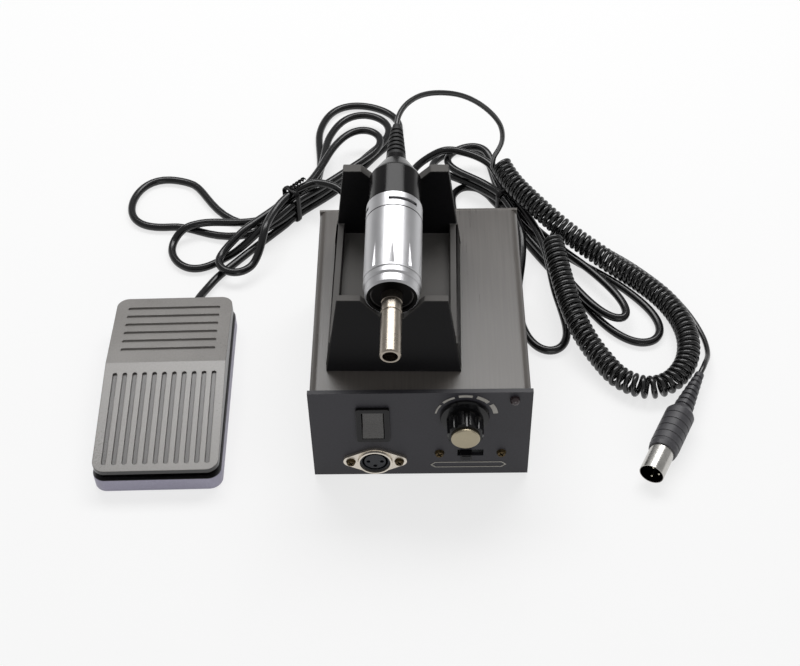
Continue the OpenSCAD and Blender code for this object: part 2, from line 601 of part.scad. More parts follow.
lane = stack / 2;
function hank(waist, heading, ends, lanes, levels, n) =
  let (last = len(ends) - 1)
  [for (i = [0:last], k = [0:(i < last ? n - 1 : n)])
    let (e = ends[i], q = k / n, s = sin(180 * q), from = lanes[i] * lane, to = lanes[i + 1] * lane,
      bulge = sign(from - to) * e[2] * sin(360 * q) * s / 0.77,
      side = from + (to - from) * smooth(q) + bulge,
      along = e[0] * e[1] * s, turn = heading + e[3] * smooth(s / 0.7),
      near = q < 0.5 ? levels[i] : levels[i + 1], hold = q < 0.5 ? e[5] : e[6],
      level = near + (e[4] - near) * smooth((s - hold) / min(0.4, 1 - hold)))
    [waist[0] + along * cos(turn) - side * sin(turn), waist[1] + along * sin(turn) + side * cos(turn),
      cord_radius + stack * level + tie_lift * (1 - smooth(s / 0.3))]];
function pedal_point(x, y, z) = [pedal_spot[0] + x * cos(pedal_turn) - y * sin(pedal_turn),
  pedal_spot[1] + x * sin(pedal_turn) + y * cos(pedal_turn), z];
function motor_point(z) = [console_x, console_y, 0] + motor_face
  + z * [-sin(motor_turn) * cos(motor_lean), cos(motor_turn) * cos(motor_lean), sin(motor_lean)];
function port(spot, y) = [console_x + spot[0], console_y + unit_depth + y, spot[1]];

pedal_waist = [-20, 138];
pedal_heading = 48;
pedal_way = [cos(pedal_heading), sin(pedal_heading), 0];
pedal_ends = [[1, 119, 24, 17, 0, 0, 0], [-1, 104, 21, -57, 0, 0, 0.12], [1, 104, 16, 13, 1, 0.4, 0.4],
  [-1, 80, 15, -20, 0, 0.78, 0.25], [1, 84, 11, 6, 2, 0.4, 0.4], [-1, 66, 10, 9, 1, 0.5, 0.45]];
pedal_lanes = [-1, 1, -1, 1, -1, 1, 0];
pedal_loop = hank(pedal_waist, pedal_heading, pedal_ends, pedal_lanes, [0, 0, 1, 1, 2, 2, 3], 22);
pedal_in = pedal_loop[0];
pedal_out = pedal_loop[len(pedal_loop) - 1];
pedal_lead_path = through([pedal_point(bush_x, half_long + bush_reach, bush_z),
  pedal_point(bush_x, half_long + bush_reach + 5, bush_z), [-68, 73, cord_radius + 0.6],
  [-62, 84, cord_radius + 0.1], [-53, 95.5, cord_radius], [-42, 109, cord_radius],
  pedal_in - 12 * pedal_way - [0, 0, 0.9], pedal_in - 5 * pedal_way, pedal_in], 5);
pedal_feed_path = through([pedal_out, pedal_out + 5 * pedal_way, [-5, 148, 20.5], [10, 142, 20],
  [16.5, 126, 19], [18.5, 106, 17.5], port(pedal_port, pedal_reach + 6), port(pedal_port, pedal_reach)], 5);

mains_waist = [113, 141];
mains_heading = -63;
mains_way = [cos(mains_heading), sin(mains_heading), 0];
mains_ends = [[1, 138, 13, 8, 0, 0, 0], [-1, 66, 17, 4, 0, 0, 0.6], [1, 118, 7, 5, 1, 0.4, 0.4],
  [-1, 54, 12, 4, 2, 0.4, 0.4], [1, 122, 11, -17, 0, 0.25, 0.44]];
mains_loop = hank(mains_waist, mains_heading, mains_ends, [-1, 1, -1, 1, -1, 1], [0, 0, 1, 1, 2, 2], 22);
mains_in = mains_loop[0];
mains_out = mains_loop[len(mains_loop) - 1];
mains_lead_path = through([port(mains_spot, mains_reach), port(mains_spot, mains_reach + 6),
  [85.5, 115, 8.5], [82, 130, cord_radius + 0.6], [80, 147, cord_radius], [81, 156, cord_radius],
  [87, 162.5, cord_radius], [95.5, 162, cord_radius], mains_in - 18 * mains_way - [0, 0, 1.4],
  mains_in - 10 * mains_way - [0, 0, 0.6], mains_in - 5 * mains_way, mains_in], 5);
plug_spot = [50, 144, 7.6];
mains_feed_path = through([mains_out, mains_out - 5 * mains_way, mains_out - 14 * mains_way + [0, 0, 2],
  [103, 166, 19.6], [91, 175, 20], [76, 179.5, 19.4], [62, 178, 12], [53, 170, 6.8],
  plug_spot + [0, 14, -0.6], plug_spot + [0, 6, 0], plug_spot], 5);

curl_route = [[109, 149, 34], [113, 141.5, 31], [118.5, 133, 28.5], [128, 121.5, 25.5], [140, 109.5, 21],
  [153.5, 99, 15.5], [171.5, 87, 9], [188.5, 72, 7], [201, 56, 7], [208.5, 39, 7], [210.5, 22, 7],
  [206.5, 5.5, 7], [196.5, -7.5, 7], [183, -11.5, 7], [169.5, -4.5, 7], [160, 8.5, 8.5], [151.5, 23, 12.5],
  [145.5, 40, 16.5], [142, 58.5, 19], [139.5, 75, 21.5], [138, 90, 22]];
curl_track = through(curl_route, 8);
curl_miles = mileage(curl_track);
curl_long = curl_miles[len(curl_miles) - 1];
curl_marks = [for (a = [0:2]) [for (i = [0:len(curl_track) - 1]) [curl_miles[i], curl_track[i][a]]]];
function on_curl(s) = [for (a = [0:2]) lookup(s, curl_marks[a])];
curl_mean = (curl_diameter - curl_wire) / 2;
curl_run = 5;
function curl_way(s) = unit(on_curl(min(s + 2, curl_long)) - on_curl(max(s - 2, 0)));
bend_span = 6;
function curl_bend(s) =
  let (a = curl_way(max(s - bend_span, 0)), b = curl_way(min(s + bend_span, curl_long)))
  acos(min(1, a * b)) * PI / 180 / (2 * bend_span);
function curl_rise(s) = (curl_wire + curl_space) / (1 - curl_mean * curl_bend(s));
curl_last = len(curl_track) - 1;
curl_parts = [for (i = [0:curl_last - 1]) (curl_miles[i + 1] - curl_miles[i]) / curl_rise(curl_miles[i])];
curl_turns = [for (i = 0, w = 0; i <= curl_last; w = i < curl_last ? w + curl_parts[i] : w, i = i + 1) w];
turns_along = [for (i = [0:curl_last]) [curl_miles[i], curl_turns[i]]];
along_turns = [for (i = [0:curl_last]) [curl_turns[i], curl_miles[i]]];
first_turn = lookup(curl_run, turns_along);
last_turn = lookup(curl_long - curl_run, turns_along);
curl_steps = 6 * floor(last_turn - first_turn);
curl_path = concat([on_curl(0), on_curl(0.65 * curl_run)],
  [for (k = [1:curl_steps - 1])
    let (s = lookup(first_turn + (last_turn - first_turn) * k / curl_steps, along_turns),
      t = curl_way(s), n = unit(cross([0, 0, 1], t)), a = 60 * k,
      r = curl_mean * smooth(k / 7) * smooth((curl_steps - k) / 7))
    on_curl(s) + r * (cos(a) * n + sin(a) * cross(t, n))],
  [on_curl(curl_long - 0.65 * curl_run), on_curl(curl_long)]);
curl_in = curl_way(0);
curl_out = curl_way(curl_long);
curl_start = curl_route[0];
curl_end = curl_route[len(curl_route) - 1];
motor_lead_path = through([motor_point(motor_end + 0.2), motor_point(motor_end + 6), [52.5, 91.5, 123.6],
  [62, 103.5, 121], [75, 112.5, 115], [86.5, 119, 107], [98, 124, 95], [106.5, 126, 82], [108.5, 129.5, 68],
  [106, 136, 55], [103, 145, 45.5], [102, 151.5, 39.5], curl_start - 5 * curl_in, curl_start], 5);
wire_radius = curl_wire / 2;
tail_plug = [213, -3.5, 8.2];
tail_turn = 63;
tail_way = [cos(tail_turn), sin(tail_turn), 0];
motor_tail_path = through([curl_end, curl_end + 5 * curl_out, [136.5, 100.5, 17.4], [138, 106, 13],
  [141, 110.5, 11], [146, 113.5, 7], [153, 114, 4.4], [162, 111.5, wire_radius + 0.4],
  [175, 102, wire_radius], [190, 87.5, wire_radius], [204, 70, wire_radius], [214.5, 51, wire_radius],
  [220.5, 32, wire_radius + 0.3], [221, 16.5, 3.6], tail_plug + 8 * tail_way, tail_plug], 5);

module motor_lead() color("#1a1a1c") tube(motor_lead_path, wire_radius, 8);
module motor_curl() color("#1a1a1c") tube(curl_path, wire_radius, 5);
module motor_tail() color("#1a1a1c") tube(grounded(motor_tail_path, wire_radius), wire_radius, 8);
module pedal_lead() color("#222224") tube(grounded(pedal_lead_path, cord_radius), cord_radius, 8);
module pedal_hank() color("#222224") tube(pedal_loop, cord_radius, 6);
module pedal_feed() color("#222224") tube(pedal_feed_path, cord_radius, 8);
module mains_lead() color("#222224") tube(grounded(mains_lead_path, cord_radius), cord_radius, 8);
module mains_hank() color("#222224") tube(mains_loop, cord_radius, 6);
module mains_feed() color("#222224") tube(mains_feed_path, cord_radius, 8);
echo(curl_gap = least_gap(curl_path, curl_wire, 4));
echo(pedal_gap = least_gap(pedal_loop, cord_diameter, 4));
echo(mains_gap = least_gap(mains_loop, cord_diameter, 4));

grip_long = 32;
shell_long = 16;
tail_boot = 29;
module at_plug() translate(tail_plug) rotate([0, 0, tail_turn]) rotate([0, -90, 0]) children();
module plug_grip() color("#232325") at_plug() rotate_extrude() difference() {
  polygon(concat([[0, 0], [2.4, 0]],
    [for (k = [0:6]) let (z = 1 + 4 * k, r = 2.6 + 0.45 * k)
      for (q = [[r, z], [r, z + 2.2], [r - 0.6, z + 2.5], [r - 0.6, z + 3.9]]) q],
    [[5.6, tail_boot], [7.2, tail_boot + 2.5]],
    [for (k = [0:4]) let (z = tail_boot + 4 + 4.8 * k)
      for (q = [[8, z], [8, z + 4], [7.7, z + 4.2], [7.7, z + 4.7]]) q],
    [[7.9, tail_boot + 29.5], [7.4, tail_boot + grip_long], [0, tail_boot + grip_long]]));
  translate([0, tail_boot + grip_long - 8]) square([6.62, 20]);
}
plug_low = tail_boot + grip_long - 8;
plug_tip = tail_boot + grip_long + shell_long;
module plug_shell() color("#c9c9cc") at_plug() ring(6.6, 6.1, plug_low + 0.1, plug_tip);
module plug_insert() color("#141416") at_plug() difference() {
  translate([0, 0, plug_low + 0.1]) cylinder(r = 6.05, h = 14);
  pins_at() translate([0, 0, plug_low - cut]) cylinder(r = 0.75, h = 20);
}
module plug_pins() color("#c8a85a") at_plug() pins_at() {
  translate([0, 0, plug_low + 2]) cylinder(r = 0.72, h = 20);
  translate([0, 0, plug_low + 22]) sphere(0.72);
}
module mains_plug() translate(plug_spot) {
  color("#1c1c1e") rotate([90, 0, 0]) rotate_extrude()
    polygon(concat([[0, 0]], [for (k = [0:5]) let (z = 3.8 * k, r = 3.2 + 0.5 * k)
      for (q = [[r, z], [r, z + 2], [r - 0.6, z + 2.3], [r - 0.6, z + 3.6]]) q], [[6, 23], [0, 23]]));
  color("#1c1c1e") translate([0, -35, 0]) rotate([90, 0, 0]) linear_extrude(26, center = true)
    soft_square([35, 15], 5);
  color("#c9c9cc") for (s = [-1, 1])
    translate([s * 9.5, -48 + tiny, 0]) rotate([90, 0, 0]) cylinder(r = 2, h = 18);
}

base_chassis();
top_cover();
front_panel();
rear_panel();
rubber_feet();
cover_screws();
cradle();
rocker_housing();
power_rocker();
socket_shell();
socket_insert();
socket_contacts();
panel_screws();
speed_knob();
knob_cap();
speed_pot();
pot_shaft();
direction_switch();
direction_slider();
indicator_lamp();
panel_marks();
control_board();
transformer_core();
transformer_coil();
fuse_holder();
mains_gland();
pedal_gland();
motor_barrel();
end_ring();
rear_cap();
cord_boot();
nose_spigot();
magnets();
bearings();
armature();
rotor_shaft();
commutator();
brushes();
brush_springs();
pedal_base();
treadle();
hinge_pin();
return_spring();
micro_switch();
switch_button();
pedal_bush();
motor_lead();
motor_curl();
motor_tail();
plug_grip();
plug_shell();
plug_insert();
plug_pins();
pedal_lead();
pedal_hank();
pedal_feed();
mains_lead();
mains_hank();
mains_feed();
mains_plug();
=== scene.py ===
import math

import bpy
import numpy as np
from mathutils import Matrix, Vector


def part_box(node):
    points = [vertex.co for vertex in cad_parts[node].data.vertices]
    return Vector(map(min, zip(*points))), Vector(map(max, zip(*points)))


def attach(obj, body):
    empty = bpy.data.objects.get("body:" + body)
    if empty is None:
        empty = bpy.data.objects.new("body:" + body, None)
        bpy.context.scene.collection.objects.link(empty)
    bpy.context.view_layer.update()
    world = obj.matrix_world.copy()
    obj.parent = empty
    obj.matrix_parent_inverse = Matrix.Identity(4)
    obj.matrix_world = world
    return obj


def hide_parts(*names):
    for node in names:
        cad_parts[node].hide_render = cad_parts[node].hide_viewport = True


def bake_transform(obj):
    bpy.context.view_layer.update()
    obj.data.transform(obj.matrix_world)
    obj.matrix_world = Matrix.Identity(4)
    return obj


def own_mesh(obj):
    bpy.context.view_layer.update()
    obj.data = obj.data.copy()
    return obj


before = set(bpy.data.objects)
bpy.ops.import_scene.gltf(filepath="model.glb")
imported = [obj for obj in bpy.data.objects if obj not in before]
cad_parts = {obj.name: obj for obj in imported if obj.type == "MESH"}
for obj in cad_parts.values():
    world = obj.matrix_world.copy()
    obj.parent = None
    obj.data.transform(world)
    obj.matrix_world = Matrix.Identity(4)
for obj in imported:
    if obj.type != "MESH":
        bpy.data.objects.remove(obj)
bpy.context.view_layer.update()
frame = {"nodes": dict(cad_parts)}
nodes = frame["nodes"]
mm = 0.001
print("frame loaded with", len(nodes), "nodes")

# camera at the photograph's viewing angle
cameraView = {
    "place": (0.05903, -0.5097, 0.5825),  # metres
    "pitch": 46.757,  # degrees down
    "yaw": -1.243,
    "roll": -1.524,
    "lens": 62.134,  # mm
    "sensor": 36.0,  # mm
    "clip": (0.01, 90.0),  # metres
}


def makeCamera(view):
    pitch, yaw, roll = (math.radians(view[k]) for k in ("pitch", "yaw", "roll"))
    forward = Vector((math.sin(yaw) * math.cos(pitch), math.cos(yaw) * math.cos(pitch), -math.sin(pitch)))
    level = Vector((math.cos(yaw), -math.sin(yaw), 0))
    raised = level.cross(forward)
    right = level * math.cos(roll) + raised * math.sin(roll)
    top = raised * math.cos(roll) - level * math.sin(roll)
    data = bpy.data.cameras.new("photoCamera")
    data.lens = view["lens"]
    data.sensor_width = view["sensor"]
    data.clip_start, data.clip_end = view["clip"]
    camera = bpy.data.objects.new("photoCamera", data)
    bpy.context.scene.collection.objects.link(camera)
    turn = Matrix((right, top, -forward)).transposed().to_4x4()
    camera.matrix_world = Matrix.Translation(view["place"]) @ turn
    bpy.context.scene.camera = camera


makeCamera(cameraView)
print("camera set")

# cord routes, in mm, as in the solids; only the motor cord's winding runs fuller to its ends
unitPlace = (58.5, -65.0)  # middle of the front panel
unitDepth = 137.0
straightOut = {"bush": 5.0, "waist": 5.0, "gland": 6.0, "boot": 5.8, "plug": 8.0}  # run before the first bend
mainsCordValues = {
    "diameter": 4.8,
    "gland": (30.0, 14.0),  # across, up
    "glandReach": 22.0,
    "waist": (113.0, 141.0),
    "heading": -63.0,
    # side, reach, width, turn, level at the tip, hold before, hold after
    "ends": [(1, 138, 13, 8, 0, 0, 0), (-1, 66, 17, 4, 0, 0, 0.6), (1, 118, 7, 5, 1, 0.4, 0.4),
             (-1, 54, 12, 4, 2, 0.4, 0.4), (1, 122, 11, -17, 0, 0.25, 0.44)],
    "lanes": [-1, 1, -1, 1, -1, 1],
    "levels": [0, 0, 1, 1, 2, 2],
    "leadRoute": [(85.5, 115, 8.5), (82, 130, 3), (80, 147, 2.4), (81, 156, 2.4), (87, 162.5, 2.4),
                  (95.5, 162, 2.4)],
    "sag": [(18, 1.4), (10, 0.6)],  # run before the waist, drop below it
    "rise": (14, 2),  # run after the waist, lift above it
    "feedRoute": [(103, 166, 19.6), (91, 175, 20), (76, 179.5, 19.4), (62, 178, 12), (53, 170, 6.8)],
    "plugSag": [(14, 0.6), (6, 0)],  # run before the plug, drop below it
    "plug": (50.0, 144.0, 7.6),
}
pedalCordValues = {
    "diameter": 4.8,
    "bush": (9.8, 5.0),  # across, up
    "bushReach": 6.0,
    "pedalPlace": (-80.6, -11.5),
    "pedalTurn": 1.0,
    "pedalHalf": 62.0,
    "gland": (-40.0, 17.0),
    "glandReach": 12.0,
    "waist": (-20.0, 138.0),
    "heading": 48.0,
    "ends": [(1, 119, 24, 17, 0, 0, 0), (-1, 104, 21, -57, 0, 0, 0.12), (1, 104, 16, 13, 1, 0.4, 0.4),
             (-1, 80, 15, -20, 0, 0.78, 0.25), (1, 84, 11, 6, 2, 0.4, 0.4), (-1, 66, 10, 9, 1, 0.5, 0.45)],
    "lanes": [-1, 1, -1, 1, -1, 1, 0],
    "levels": [0, 0, 1, 1, 2, 2, 3],
    "leadRoute": [(-68, 73, 3), (-62, 84, 2.5), (-53, 95.5, 2.4), (-42, 109, 2.4)],
    "sag": [(12, 0.9)],  # run before the waist, drop below it
    "feedRoute": [(-5, 148, 20.5), (10, 142, 20), (16.5, 126, 19), (18.5, 106, 17.5)],
}
motorCordValues = {
    "diameter": 3.0,
    "curlDiameter": 13.2,
    "curlSpace": 0.35,  # least room between turns on the inside of a bend
    "perTurn": 28,  # points on each turn
    "trackStep": 0.25,  # between points of the line that the turns wind round
    "bendSpan": 6.0,  # to each side, over which a bend of that line is measured
    "leadIn": 8.0,  # run on to the first turn
    "leadOut": 6.0,  # run off the last one
    "leadStep": 0.6,
    "face": (-13.07, 22.0, 110.7),  # front face of the motor from the panel's middle
    "turn": -1.1,
    "lean": 6.0,
    "bootEnd": 117.2,  # along the motor from its front face
    "curlRoute": [(109, 149, 34), (113, 141.5, 31), (118.5, 133, 28.5), (128, 121.5, 25.5), (140, 109.5, 21),
                  (153.5, 99, 15.5), (171.5, 87, 9), (188.5, 72, 7), (201, 56, 7), (208.5, 39, 7),
                  (210.5, 22, 7), (206.5, 5.5, 7), (196.5, -7.5, 7), (183, -11.5, 7), (169.5, -4.5, 7),
                  (160, 8.5, 8.5), (151.5, 23, 12.5), (145.5, 40, 16.5), (142, 58.5, 19), (139.5, 75, 21.5),
                  (138, 90, 22)],
    "leadRoute": [(52.5, 91.5, 123.6), (62, 103.5, 121), (75, 112.5, 115), (86.5, 119, 107), (98, 124, 95),
                  (106.5, 126, 82), (108.5, 129.5, 68), (107, 136.5, 55)],
    "tailRoute": [(141.6, 97, 13), (139.3, 104.5, 12.6), (141, 110.5, 10.8), (146, 113.5, 7), (153, 114, 4.4),
                  (162, 111.5, 1.9), (175, 102, 1.5), (190, 87.5, 1.5), (204, 70, 1.5), (214.5, 51, 1.5),
                  (220.5, 32, 1.8), (221, 16.5, 3.6)],
    "plug": (213.0, -3.5, 8.2),
    "plugTurn": 63.0,
}
hankValues = {
    "room": 0.8,  # between strands that lie on each other
    "tieLift": 1.4,  # that the tie holds the waist off the table
    "perEnd": 60,  # points on each loop
    "turnBy": 0.7,  # share of its reach by which a loop has fanned out
    "levelBy": 0.4,  # share over which it changes its level
    "restBy": 0.3,  # share by which it lies on the table
}


def ease(t):
    t = np.clip(t, 0, 1)
    return t * t * (3 - 2 * t)


def through(points, perSpan=12):  # smooth line through points
    p = np.array(points, float)
    p = np.vstack([2 * p[0] - p[1], p, 2 * p[-1] - p[-2]])
    line = []
    for i in range(1, len(p) - 2):
        a, b, c, d = p[i - 1:i + 3]
        for t in np.arange(perSpan) / perSpan:
            line.append(0.5 * (2 * b + (c - a) * t + (2 * a - 5 * b + 4 * c - d) * t ** 2
                               + (3 * b - a - 3 * c + d) * t ** 3))
    return np.array(line + [p[-2]])


def runAlong(line):  # distance from the start at each point
    return np.r_[0, np.cumsum(np.linalg.norm(np.diff(line, axis=0), axis=1))]


def evenly(line, step):  # the same line with points a step apart
    line = line[np.r_[True, np.linalg.norm(np.diff(line, axis=0), axis=1) > 1e-6]]
    run = runAlong(line)
    marks = np.linspace(0, run[-1], int(run[-1] / step) + 1)
    return np.stack([np.interp(marks, run, line[:, k]) for k in range(3)], 1)


def relaxed(line, passes=100):  # the same line with its sharpest turns eased, both ends kept
    line = line.copy()
    for _ in range(passes):
        line[2:-2] = 0.5 * line[2:-2] + 0.25 * (line[1:-3] + line[3:-1])
    return line


def lineLength(line):
    return float(runAlong(line)[-1])


def flatWay(degrees):  # a heading on the table
    a = math.radians(degrees)
    return np.array((math.cos(a), math.sin(a), 0))


def hankLoop(values, hank):  # loops fanned out through a tied waist
    radius = values["diameter"] / 2
    stack = values["diameter"] + hank["room"]
    lanes, levels = values["lanes"], values["levels"]
    fullest = 0.77  # greatest value of sin(2 pi q) sin(pi q)
    line = []
    for i, (side, reach, width, turn, tip, holdIn, holdOut) in enumerate(values["ends"]):
        last = i == len(values["ends"]) - 1
        start, stop = lanes[i] * stack / 2, lanes[i + 1] * stack / 2
        for k in range(hank["perEnd"] + (1 if last else 0)):
            q = k / hank["perEnd"]
            s = math.sin(math.pi * q)
            bulge = np.sign(start - stop) * width * math.sin(2 * math.pi * q) * s / fullest
            across = start + (stop - start) * ease(q) + bulge
            along = side * reach * s
            a = math.radians(values["heading"] + turn * ease(s / hank["turnBy"]))
            near, hold = (levels[i], holdIn) if q < 0.5 else (levels[i + 1], holdOut)
            level = near + (tip - near) * ease((s - hold) / min(hank["levelBy"], 1 - hold))
            lift = hank["tieLift"] * (1 - ease(s / hank["restBy"]))
            line.append((values["waist"][0] + along * math.cos(a) - across * math.sin(a),
                         values["waist"][1] + along * math.sin(a) + across * math.cos(a),
                         radius + stack * level + lift))
    return np.array(line)


def grounded(line, radius):
    line = line.copy()
    line[:, 2] = np.maximum(line[:, 2], radius)
    return line


def rearPort(values, out=0.0):  # a point out of the cord's gland in the rear panel
    across, up = values["gland"]
    return np.array((unitPlace[0] + across, unitPlace[1] + unitDepth + values["glandReach"] + out, up))


def sagging(point, way, runs):  # points on the run before a point, each below it
    return [point - run * way - (0, 0, drop) for run, drop in runs]


def pedalCordLine(v):
    a = math.radians(v["pedalTurn"])
    x, z = v["bush"]
    out = v["pedalHalf"] + v["bushReach"]

    def behindPedal(y):
        return np.array((v["pedalPlace"][0] + x * math.cos(a) - y * math.sin(a),
                         v["pedalPlace"][1] + x * math.sin(a) + y * math.cos(a), z))

    loop, way = hankLoop(v, hankValues), flatWay(v["heading"])
    straight = straightOut["waist"] * way
    lead = through([behindPedal(out), behindPedal(out + straightOut["bush"]), *v["leadRoute"],
                    *sagging(loop[0], way, v["sag"]), loop[0] - straight, loop[0]])
    feed = through([loop[-1], loop[-1] + straight, *v["feedRoute"], rearPort(v, straightOut["gland"]),
                    rearPort(v)])
    return grounded(np.vstack([lead[:-1], loop, feed[1:]]), v["diameter"] / 2)


def mainsCordLine(v):
    loop, way, plug = hankLoop(v, hankValues), flatWay(v["heading"]), np.array(v["plug"])
    straight = straightOut["waist"] * way
    run, lift = v["rise"]
    lead = through([rearPort(v), rearPort(v, straightOut["gland"]), *v["leadRoute"],
                    *sagging(loop[0], way, v["sag"]), loop[0] - straight, loop[0]])
    feed = through([loop[-1], loop[-1] - straight, loop[-1] - run * way + (0, 0, lift), *v["feedRoute"],
                    *sagging(plug, flatWay(-90), v["plugSag"]), plug])
    return grounded(np.vstack([lead[:-1], loop, feed[1:]]), v["diameter"] / 2)


def motorWay(v):  # along the motor, from its face to its cord
    turn, lean = math.radians(v["turn"]), math.radians(v["lean"])
    return np.array((-math.sin(turn) * math.cos(lean), math.cos(turn) * math.cos(lean), math.sin(lean)))


motorAxis = motorWay(motorCordValues)
motorFace = np.array((*unitPlace, 0)) + motorCordValues["face"]
plugPlace = np.array(motorCordValues["plug"])
plugAxis = flatWay(motorCordValues["plugTurn"])  # from its pins to its cord


def motorCordLine(v):
    boot = motorFace + v["bootEnd"] * motorAxis
    track = evenly(through(v["curlRoute"], perSpan=24), v["trackStep"])
    run = runAlong(track)

    def onTrack(s):
        return np.stack([np.interp(s, run, track[:, k]) for k in range(3)], -1)

    def wayAt(s, span=2.0):
        d = onTrack(np.minimum(s + span, run[-1])) - onTrack(np.maximum(s - span, 0))
        return d / np.linalg.norm(d, axis=-1, keepdims=True)

    mean = (v["curlDiameter"] - v["diameter"]) / 2
    ahead = wayAt(np.minimum(run + v["bendSpan"], run[-1]))
    behind = wayAt(np.maximum(run - v["bendSpan"], 0))
    bend = np.arccos(np.clip((ahead * behind).sum(1), -1, 1)) / (2 * v["bendSpan"])
    rise = (v["diameter"] + v["curlSpace"]) / (1 - mean * bend)  # turns open out where the route bends
    turns = np.r_[0, np.cumsum(np.diff(run) / rise[:-1])]
    steps = v["perTurn"] * math.floor(turns[-1])
    k = np.arange(steps + 1)
    s = np.interp(turns[-1] * k / steps, turns, run)
    way = wayAt(s)
    side = np.cross((0, 0, 1), way)
    side /= np.linalg.norm(side, axis=1)[:, None]
    over = np.cross(way, side)
    a = math.pi + 2 * math.pi * k[:, None] / v["perTurn"]  # both ends of the winding point down
    curl = onTrack(s) + mean * (np.cos(a) * side + np.sin(a) * over)
    wayIn, wayOut = curl[1] - curl[0], curl[-1] - curl[-2]
    wayIn, wayOut = wayIn / np.linalg.norm(wayIn), wayOut / np.linalg.norm(wayOut)
    lead = through([boot, boot + straightOut["boot"] * motorAxis, *v["leadRoute"],
                    curl[0] - v["leadIn"] * wayIn, curl[0]])
    lead = relaxed(evenly(lead, v["leadStep"]))
    tail = through([curl[-1], curl[-1] + v["leadOut"] * wayOut, *v["tailRoute"],
                    plugPlace + straightOut["plug"] * plugAxis, plugPlace])
    return np.vstack([lead[:-1], curl, grounded(tail, v["diameter"] / 2)[1:]])


def addPiece(name, corners, faces):  # corners in mm
    mesh = bpy.data.meshes.new(name)
    mesh.from_pydata((np.array(corners) * mm).tolist(), [], faces)
    mesh.shade_smooth()
    made = bpy.data.objects.new(name, mesh)
    bpy.context.scene.collection.objects.link(made)
    return made


def sweep(name, line, radius, sides):  # round tube along a line, closed at both ends
    turn = 2 * math.pi * np.arange(sides) / sides
    across, over = radius * np.cos(turn)[:, None], radius * np.sin(turn)[:, None]
    way = np.gradient(line, axis=0)
    way /= np.linalg.norm(way, axis=1)[:, None]
    side = np.cross(way[0], (0, 0, 1) if abs(way[0][2]) < 0.9 else (1, 0, 0))
    rings = []
    for point, ahead in zip(line, way):
        side = side - (side @ ahead) * ahead
        side /= np.linalg.norm(side)
        rings.append(point + across * side + over * np.cross(ahead, side))
    last = len(line) - 1
    faces = [(i * sides + k, i * sides + (k + 1) % sides, (i + 1) * sides + (k + 1) % sides,
              (i + 1) * sides + k) for i in range(last) for k in range(sides)]
    faces += [tuple(range(sides))[::-1], tuple(last * sides + k for k in range(sides))]
    return addPiece(name, np.vstack(rings), faces)


tieValues = {
    "width": 3.4,
    "thick": 0.9,
    "room": 0.35,  # round the strands
    "corner": 3.2,
    "twistTurns": 2.5,
    "twistLength": 12.0,
    "twistRadius": 0.75,
    "twistLift": 0.9,
    "strandRadius": 0.7,
    "strandPoints": 40,
    "strandSides": 6,
}


def makeTie(name, cordValues, hank, tie):  # flat wire tie round the waist of a hank
    stack = cordValues["diameter"] + hank["room"]
    clear = tie["room"] + tie["thick"] / 2
    half = stack / 2 + cordValues["diameter"] / 2 + clear
    low = hank["tieLift"] - clear
    high = hank["tieLift"] + cordValues["diameter"] + stack * max(cordValues["levels"]) + clear
    corner = tie["corner"]
    along, up = flatWay(cordValues["heading"]), np.array((0, 0, 1.0))
    across = np.cross(up, along)
    waist = np.array((*cordValues["waist"], 0.0))
    ring = []
    for x, z, start in ((half - corner, high - corner, 0), (corner - half, high - corner, 90),
                        (corner - half, low + corner, 180), (half - corner, low + corner, 270)):
        for a in np.radians(np.arange(start, start + 91, 10)):
            ring.append(waist + (x + corner * math.cos(a)) * across + (z + corner * math.sin(a)) * up)
    way = np.roll(ring, -1, 0) - np.roll(ring, 1, 0)
    way /= np.linalg.norm(way, axis=1)[:, None]
    out = np.cross(way, along)
    w, t = tie["width"] / 2, tie["thick"] / 2  # a band, thin at its edges, with a rib over its wire
    section = [(-w, -t * 0.4), (-w * 0.8, -t), (w * 0.8, -t), (w, -t * 0.4), (w, t * 0.4), (w * 0.8, t),
               (w * 0.25, t), (0, t * 1.5), (-w * 0.25, t), (-w * 0.8, t), (-w, t * 0.4)]
    n, m = len(ring), len(section)
    corners = [ring[i] + u * along + v * out[i] for i in range(n) for u, v in section]
    faces = [(i * m + k, i * m + (k + 1) % m, (i + 1) % n * m + (k + 1) % m, (i + 1) % n * m + k)
             for i in range(n) for k in range(m)]
    top = waist + (high + tie["thick"] / 2 + tie["twistLift"]) * up
    q = np.linspace(0, 1, tie["strandPoints"])
    sides, last = tie["strandSides"], tie["strandPoints"] - 1
    for phase in (0, math.pi):  # the two ends, twisted together and bent over
        spin = 2 * math.pi * tie["twistTurns"] * q + phase
        swing = np.outer(np.cos(spin), across) + np.outer(np.sin(spin), up)
        strand = top + np.outer(q * tie["twistLength"], along) + tie["twistRadius"] * swing
        base = len(corners)
        for point in strand:
            for b in 2 * math.pi * np.arange(sides) / sides:
                corners.append(point + tie["strandRadius"] * (math.cos(b) * across + math.sin(b) * up))
        for i in range(last):
            near, far = base + i * sides, base + (i + 1) * sides
            faces += [(near + k, far + k, far + (k + 1) % sides, near + (k + 1) % sides)
                      for k in range(sides)]
        faces.append(tuple(base + k for k in range(sides)))
        faces.append(tuple(base + last * sides + k for k in range(sides))[::-1])
    return addPiece(name, corners, faces)


springValues = {
    "wire": 0.8,
    "turns": 5,
    "perTurn": 24,  # points on each turn
    "closed": 0.8,  # turns that lie flat at each end
    "clear": 0.02,  # above and below
    "sides": 10,
    "keep": 0.82,  # share of its height that is left under a pressed treadle
}


